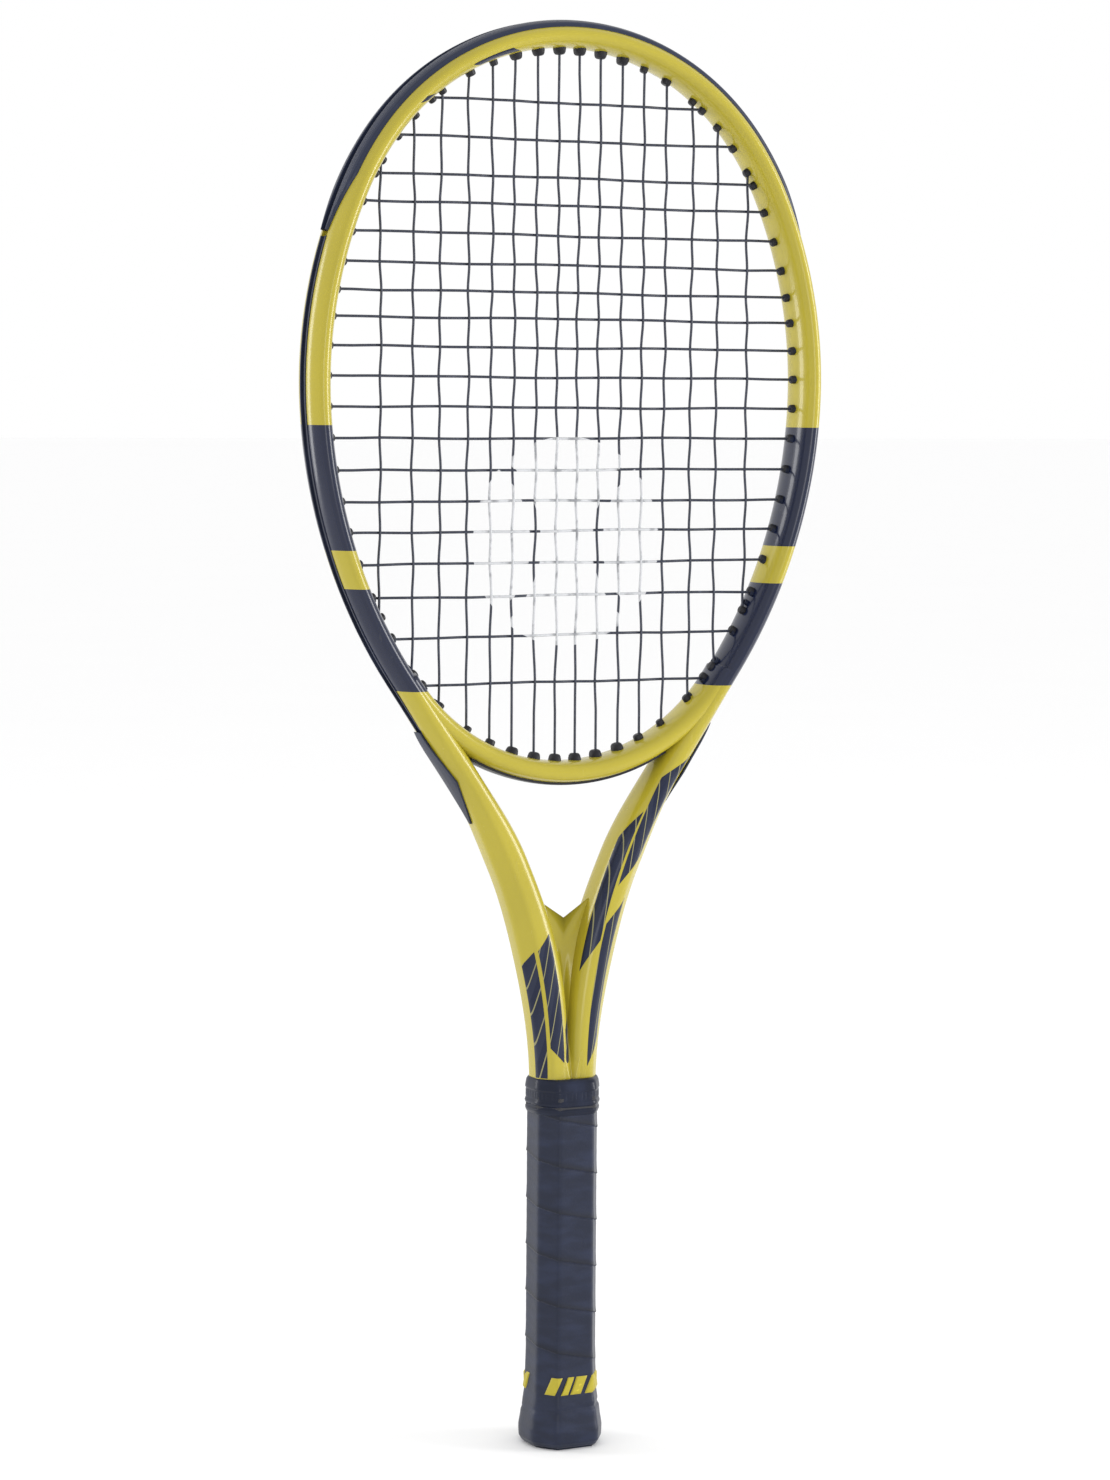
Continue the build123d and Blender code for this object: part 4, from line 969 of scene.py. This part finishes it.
def build_bosses():
    """Inner ends of the grommets: plain rounded bosses, and fuller oval cushions on the middle mains."""
    c = props("colours")
    plain_boss = ((1.2, -2.2), (2.05, -2.0), (2.05, 0.3), (1.95, 1.9), (1.75, 2.4), (1.35, 2.65), (0.85, 2.7))
    tie_boss = tuple((r * 1.22, h) for r, h in plain_boss)
    cushion = ((1.5, -1.2), (3.0, -1.0), (2.9, 0.7), (2.65, 1.9), (2.3, 2.6), (1.8, 3.0), (1.0, 3.15))
    black = moulded("boss_plastic", c.black, rough=0.34, grain=1200.0, strength=0.10, lift=2.0)
    soft = moulded("cushion_rubber", [v * 1.2 for v in c.black], rough=0.5, grain=1500.0, strength=0.2,
                   lift=2.0)
    groups = {"grommet_bosses": ([], black, "grommet_plastic", ()),
              "cushion_pads": ([], soft, "pad_rubber", ("head_pad_strip", "throat_pad_strip"))}
    for kind, px, pz, u, w in hole_spots():
        padded = kind != "cross" and px < PADDED_MAINS
        tied = any(kind == name and abs(px - place) < 0.1 for name, place in TIE_SPOTS)
        profile = cushion if padded else tie_boss if tied else plain_boss
        solids = groups["cushion_pads" if padded else "grommet_bosses"][0]
        for side in (-1, 1):
            solids.append(turned_boss(side * px, pz, side * u, w, profile, 16, 1.35 if padded else 1.0))
    for name, (solids, material, slot_name, nodes) in groups.items():
        piece = add_mesh(name, *joined(solids), slot=slot_name, sharp=40)
        if nodes:
            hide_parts(*nodes)
        dress(piece, material)


OCTAGON = np.array([(1, -0.40, 0), (1, 0.40, 0), (0.575, 1, 0), (-0.575, 1, 0), (-1, 0.40, 0),
                    (-1, -0.40, 0), (-0.575, -1, 0), (0.575, -1, 0)], float)[:, :2]


def octagon_ring(half_x, half_y, corner, turn):
    """Point of a soft-cornered octagon in the direction turn: a high-power mean of its eight half planes.

    Each side's plane gives distance / cos(angle between); the smooth smallest of them rounds the corners.
    """
    corners = OCTAGON * np.array([1.0, 1.0])
    shape = np.broadcast(half_x, half_y, turn).shape
    total = np.zeros(shape)
    power = 1.0 / np.maximum(corner, 1e-3)
    direction = np.stack([np.cos(turn), np.sin(turn)])
    for k in range(8):
        ax, ay = corners[k] * 1.0
        bx, by = corners[(k + 1) % 8]
        ax, ay, bx, by = ax * half_x, ay * half_y, bx * half_x, by * half_y
        nx, ny = by - ay, ax - bx
        length = np.sqrt(nx ** 2 + ny ** 2)
        nx, ny = nx / length, ny / length
        reach = ax * nx + ay * ny
        along = np.maximum(direction[0] * nx + direction[1] * ny, 1e-3)
        total = total + (reach / along) ** (-power)
    return total ** (-1 / power)


def build_grip():
    """Wound wrap: an octagonal sleeve over the handle whose radius steps up just above each seam.

    Height and turn make the grid; the seam's phase is height plus turn share times the pitch, over the
    pitch. Radius grows by the seam step where a turn of wrap laps over the one below, and eases back.
    """
    p = props("handle")
    top = GRIP_TOP_Z
    z = np.concatenate([np.linspace(GRIP_LOW_Z, 12, 26), np.linspace(12.5, top, 420)])
    turn = np.linspace(0, 2 * math.pi, 144, endpoint=False)
    Z, T = np.meshgrid(z, turn, indexing="ij")
    level_z = [GRIP_LOW_Z, 3.5, 9.0, 14.0, 21.0, 27.0, 46.0, top]
    level_x = [GRIP_FLARE_X - 1.3, GRIP_FLARE_X - 0.2, GRIP_FLARE_X - 0.1, GRIP_FLARE_X - 0.9,
               17.6, 16.7, WRAP_HALF_X, WRAP_HALF_X]
    half_x = np.interp(Z, level_z, level_x)
    half_y = half_x - (WRAP_HALF_X - WRAP_HALF_Y)
    corner = np.interp(Z, [0, 12, 30, top], [0.034, 0.030, 0.020, 0.018])
    r = octagon_ring(half_x, half_y, corner, T)
    phase = (Z + T / (2 * math.pi) * p.pitch + 6.0) / p.pitch
    share = phase - np.floor(phase)
    lap = p.seam_step * (np.exp(-share * 9.0) - 0.35 * np.exp(-((share - 0.985) / 0.02) ** 2))
    inside_wrap = np.clip((Z - 40.0) / 5.0, 0, 1) * np.clip((top - 6 - Z) / 4.0, 0, 1)
    r = r + lap * inside_wrap * 0.8
    fold = 0.55 * np.exp(-((Z - 19.0 - 1.2 * np.cos(T * 1.0 + 0.6)) / 1.1) ** 2)
    step = 0.45 * np.clip((19.5 - Z) / 1.2, 0, 1) * np.clip(Z / 6, 0, 1)
    r = r - fold * 0.8 + step * 0.5 - 0.15
    dimple = 0.05 * np.sin(Z * 0.9 + 3 * T) * np.sin(T * 5 + Z * 0.2)
    r = r + dimple * 0.5
    grid = np.stack([r * np.cos(T), r * np.sin(T), Z], -1)
    floor = grid[0] * [0.90, 0.90, 1]
    rim = grid[0] * [0.985, 0.985, 1] - [0, 0, 0.25]
    grid = np.concatenate([(floor + [0, 0, 0.6])[None], rim[None], grid,
                           (grid[-1] * [0.9, 0.9, 1])[None]], 0)
    piece = add_mesh("wound_grip", *ring_solid(grid), slot="grip_wrap")
    rows, columns = grid.shape[:2]
    share_full = np.concatenate([share[:1], share[:1], share, share[-1:]], 0)
    active = np.concatenate([inside_wrap[:1], inside_wrap[:1], inside_wrap, inside_wrap[-1:]], 0)
    edge = np.where(active > 0.3, np.minimum(share_full, 1.0), 0.5)
    write_uv(piece, "wind", np.stack([np.tile(np.linspace(0, 1, columns), rows), edge.ravel()], -1))
    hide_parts("base_grip")
    dress(piece, wrap_finish())


def build_bars():
    """Raised bars above the butt's flare: slanted blocks lying on the wrap's surface."""
    c = props("colours")
    p = props("handle")
    yellow = moulded("bar_rubber", c.yellow, rough=0.38, grain=900.0, strength=0.12, lift=1.05)
    middle = (BAND_LOW_Z + BAND_TOP_Z) / 2
    height = BAND_TOP_Z - BAND_LOW_Z
    # (middle turn, half width), both in degrees, for the front; the back's are half a turn on
    one_side = ((-128, 9), (-104, 6), (-84, 10), (-60, 7), (-38, 10), (-14, 6))
    t = np.linspace(-1, 1, 10)[:, None]
    k = np.linspace(-1, 1, 12)[None, :]
    z = middle + t * height / 2 * 0.95 + 0 * k
    for number, (turn0, half) in enumerate([*one_side, *((turn + 180, half) for turn, half in one_side)]):
        turn = np.radians(turn0 + k * half + t * 6.0)
        base_x = np.interp(z, [21.0, 27.0, 46.0], [17.6, 16.7, WRAP_HALF_X])
        r = octagon_ring(base_x, base_x - 0.2, 0.020, turn) - 0.15
        edge = np.minimum(1 - np.abs(t), 1 - np.abs(k))
        rise = p.bar_proud * np.clip(edge / 0.22, 0, 1) ** 0.5
        top = np.stack([(r + rise) * np.cos(turn), (r + rise) * np.sin(turn), z], -1)
        low = np.stack([(r - 0.5) * np.cos(turn), (r - 0.5) * np.sin(turn), z], -1)
        piece = add_mesh(f"bar_{number + 1:02d}", *slab(top, low), slot="band_print", sharp=50)
        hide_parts("grip_band")
        dress(piece, yellow)


def build_collar():
    """Rubber collar: a band turned round the handle, its profile a list of heights and half widths."""
    c = props("colours")
    low, high = COLLAR_LOW_Z, COLLAR_TOP_Z
    h = high - low
    # (height share, half width over the handle, half depth)
    profile = np.array([(0.00, 16.7, 16.4), (0.02, 17.4, 17.0), (0.10, 18.0, 17.5), (0.16, 18.05, 17.55),
                        (0.20, 17.5, 17.1), (0.24, 17.4, 17.0), (0.28, 18.1, 17.6), (0.33, 18.3, 17.8),
                        (0.38, 18.05, 17.55), (0.42, 17.75, 17.2), (0.58, 17.7, 17.1), (0.66, 17.75, 17.15),
                        (0.70, 18.15, 17.5), (0.76, 18.1, 17.3), (0.90, 17.8, 16.6), (0.96, 17.5, 15.6),
                        (0.995, 17.0, 14.4), (1.0, 16.4, 13.2)])
    spans = zip(profile[:-1, 0], profile[1:, 0])
    share = np.concatenate([np.linspace(a, b, 5, endpoint=False) for a, b in spans] + [[1.0]])
    z = low + share * h
    profile[:, 1:] -= 0.8
    turn = np.linspace(0, 2 * math.pi, 160, endpoint=False)
    Z, T = np.meshgrid(z, turn, indexing="ij")
    half_x = np.interp(share, profile[:, 0], profile[:, 1])[:, None] + 0 * T
    half_y = np.interp(share, profile[:, 0], profile[:, 2])[:, None] + 0 * T
    r = octagon_ring(half_x, half_y, 0.045, T)
    ribs = np.clip((share - 0.43) / 0.03, 0, 1) * np.clip((0.65 - share) / 0.03, 0, 1)
    r = r + 0.22 * ribs[:, None] * (np.sin(T * 60) > 0.1)
    inner = np.stack([15.2 * np.cos(turn), 12.4 * np.sin(turn), np.full_like(turn, high - 0.3)], -1)
    base = np.stack([16.0 * np.cos(turn), 15.6 * np.sin(turn), np.full_like(turn, low + 0.4)], -1)
    grid = np.concatenate([base[None], np.stack([r * np.cos(T), r * np.sin(T), Z], -1), inner[None]], 0)
    piece = add_mesh("ribbed_collar", *ring_solid(grid), slot="collar_rubber", sharp=60)
    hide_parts("grip_collar")
    f = Finish("collar_rubber", coat=0.10, coat_roughness=0.12, specular=0.2)
    fine = f.noise(700.0, 3.0)
    cloud = f.noise(60.0, 3.0)
    tone = f.mix(c.collar, [v * 1.9 + 0.004 for v in c.collar], cloud.step(0.4, 0.75))
    dress(piece, f.done(tone, 0.30 + cloud * 0.12, fine, 0.12, 0.0002))


def dress_cad():
    """Finishes for the CAD nodes that stay: grommets, pads, cap, plug, staples and what lies inside."""
    c = props("colours")
    nodes = frame["nodes"]
    # (finish, colour, roughness, grain, bump strength, lift of the lighter tone, nodes)
    plain_finishes = (
        ("grommet_plastic", c.black, 0.34, 1200.0, 0.12, 2.2, ("throat_grommet_strip",)),
        ("tail_plastic", [v * 0.8 for v in c.guard], 0.40, 1000.0, 0.2, 1.6,
         ("grommet_strip_left", "grommet_strip_right")),
        ("cap_plastic", c.wrap, 0.5, 800.0, 0.2, 1.6, ("butt_cap", "butt_cap_plug")),
        ("handle_foam", (0.50, 0.46, 0.36), 0.75, 2200.0, 0.5, 1.2, ("handle_foam", "tube_end_plugs")),
    )
    for name, colour, rough, grain, strength, lift, dressed in plain_finishes:
        material = moulded(name, colour, rough, grain, strength, lift)
        for node in dressed:
            dress(nodes[node], material)
    f = Finish("staple_steel", metallic=1.0)
    drawn = f.noise(900.0, 2.0, (1, 1, 0.1))
    steel = f.done(f.mix((0.55, 0.55, 0.56), (0.38, 0.37, 0.36), drawn.step(0.4, 0.7)), 0.3 + drawn * 0.2,
                   drawn, 0.1, 0.0001)
    dress(nodes["butt_cap_staples"], steel)
    dress(nodes["grip_tack"], steel)
    f = Finish("finishing_tape", specular=0.3)
    warp = (f.z * 9.0).sine() * (f.x * 9.0 + f.y * 9.0).sine()
    threads = f.mix((0.02, 0.02, 0.024), (0.05, 0.05, 0.056), warp.step(-0.4, 0.6))
    dress(nodes["grip_finishing_tape"], f.done(threads, 0.7, warp, 0.3, 0.0001))


def build_stage():
    """Pale floor and backdrop, soft lights and the camera."""
    floor_mesh = bpy.data.meshes.new("floor")
    half = 40.0
    floor_mesh.from_pydata([(-half, -half, 0), (half, -half, 0), (half, half, 0), (-half, half, 0)], [],
                           [(0, 1, 2, 3)])
    floor = bpy.data.objects.new("floor", floor_mesh)
    bpy.context.scene.collection.objects.link(floor)
    f = Finish("floor_paper", specular=0.2)
    dress(floor, f.done(f.mix((0.985, 0.985, 0.985), (0.975, 0.975, 0.978), f.noise(3.0, 2.0)), 0.9))
    world = bpy.data.worlds.new("studio")
    bpy.context.scene.world = world
    world.use_nodes = True
    world.node_tree.nodes["Background"].inputs["Color"].default_value = (1, 1, 1, 1)
    world.node_tree.nodes["Background"].inputs["Strength"].default_value = 1.0
    # (name, place, target, width, height, power)
    lights = (("key_soft", (2.2, -1.3, 0.35), (0, 0, 0.36), 0.9, 2.0, 50.0),
              ("front_soft", (-0.9, -2.6, 0.35), (0, 0, 0.36), 0.8, 1.6, 12.0),
              ("rim_strip", (-1.6, 1.2, 0.4), (0, 0, 0.35), 0.5, 1.8, 16.0))
    for name, place, target, width, height, power in lights:
        data = bpy.data.lights.new(name, "AREA")
        data.shape = "RECTANGLE"
        data.size, data.size_y, data.energy = width, height, power
        lamp = bpy.data.objects.new(name, data)
        lamp.location = place
        lamp.rotation_euler = (Vector(target) - Vector(place)).to_track_quat("-Z", "Y").to_euler()
        bpy.context.scene.collection.objects.link(lamp)
    place_camera()


def place_camera():
    """Camera that looks at the aim point from the left, slightly above."""
    y, e, r = (math.radians(v) for v in (CAMERA_YAW, CAMERA_PITCH, CAMERA_ROLL))
    ahead = Vector((-math.sin(y) * math.cos(e), math.cos(y) * math.cos(e), -math.sin(e)))
    right = Vector((math.cos(y), math.sin(y), 0.0))
    up = right.cross(ahead)
    right, up = right * math.cos(r) + up * math.sin(r), up * math.cos(r) - right * math.sin(r)
    data = bpy.data.cameras.new("camera")
    data.sensor_fit = "VERTICAL"
    data.sensor_height = CAMERA_SENSOR
    data.sensor_width = CAMERA_SENSOR
    data.lens = CAMERA_LENS
    data.clip_start = 0.05
    camera = bpy.data.objects.new("camera", data)
    bpy.context.scene.collection.objects.link(camera)
    turn = Matrix((right, up, -ahead)).transposed().to_4x4()
    turn.translation = (Vector(CAMERA_AIM) - ahead * CAMERA_DISTANCE) * MM
    camera.matrix_world = turn
    bpy.context.scene.camera = camera
    bpy.context.scene.view_settings.view_transform = "Standard"


STEPS = (
    ("frame", "Frame tube", "Builds the lacquered hairpin tube", build_frame),
    ("web", "Crotch web", "Builds the web between the two tubes", build_web),
    ("bridge", "Throat bridge", "Builds the bridge under the strings", build_bridge),
    ("graphics", "Frame graphics", "Adds the plain slanted blocks", build_graphics),
    ("guard", "Bumper guard", "Builds the guard's textured shell", build_guard),
    ("bosses", "Grommet bosses", "Adds the grommets' inner ends and the cushions", build_bosses),
    ("strings", "Strings", "Builds the woven string bed", build_strings),
    ("grip", "Grip wrap", "Builds the wound wrap and the butt's flare", build_grip),
    ("bars", "Raised bars", "Adds the raised bars above the flare", build_bars),
    ("collar", "Collar", "Builds the ribbed rubber collar", build_collar),
    ("fittings", "Fittings", "Gives the moulded pieces their finishes", dress_cad),
    ("stage", "Stage", "Sets the floor, the lights and the camera", build_stage),
)
OPERATORS = [simple_operator(*step) for step in STEPS]


class RACKET_PT_panel(bpy.types.Panel):
    """Lists the racket's steps and sizes."""
    bl_label = "Tennis racket"
    bl_idname = "RACKET_PT_panel"
    bl_space_type = "VIEW_3D"
    bl_region_type = "UI"
    bl_category = "Racket"

    def draw(self, context):
        for suffix, label, _, _ in STEPS:
            self.layout.operator("racket." + suffix, text=label)
        for name, group in GROUPS.items():
            box = self.layout.box()
            for key in group.__annotations__:
                box.prop(props(name), key)


GROUPS = {"frame": RACKET_PG_frame, "strings": RACKET_PG_strings, "handle": RACKET_PG_handle,
          "colours": RACKET_PG_colours}


def register():
    for cls in (*GROUPS.values(), *OPERATORS, RACKET_PT_panel):
        bpy.utils.register_class(cls)
    for name, group in GROUPS.items():
        setattr(bpy.types.Scene, "racket_" + name, bpy.props.PointerProperty(type=group))


def unregister():
    for name in GROUPS:
        delattr(bpy.types.Scene, "racket_" + name)
    for cls in (RACKET_PT_panel, *reversed(OPERATORS), *reversed(list(GROUPS.values()))):
        bpy.utils.unregister_class(cls)


def plain(box):
    """A box's corners as plain lists."""
    return [[float(v) for v in corner] for corner in box]


def main():
    register()
    for suffix, _, _, _ in STEPS:
        getattr(bpy.ops.racket, suffix)()


if __name__ == "__main__":
    main()
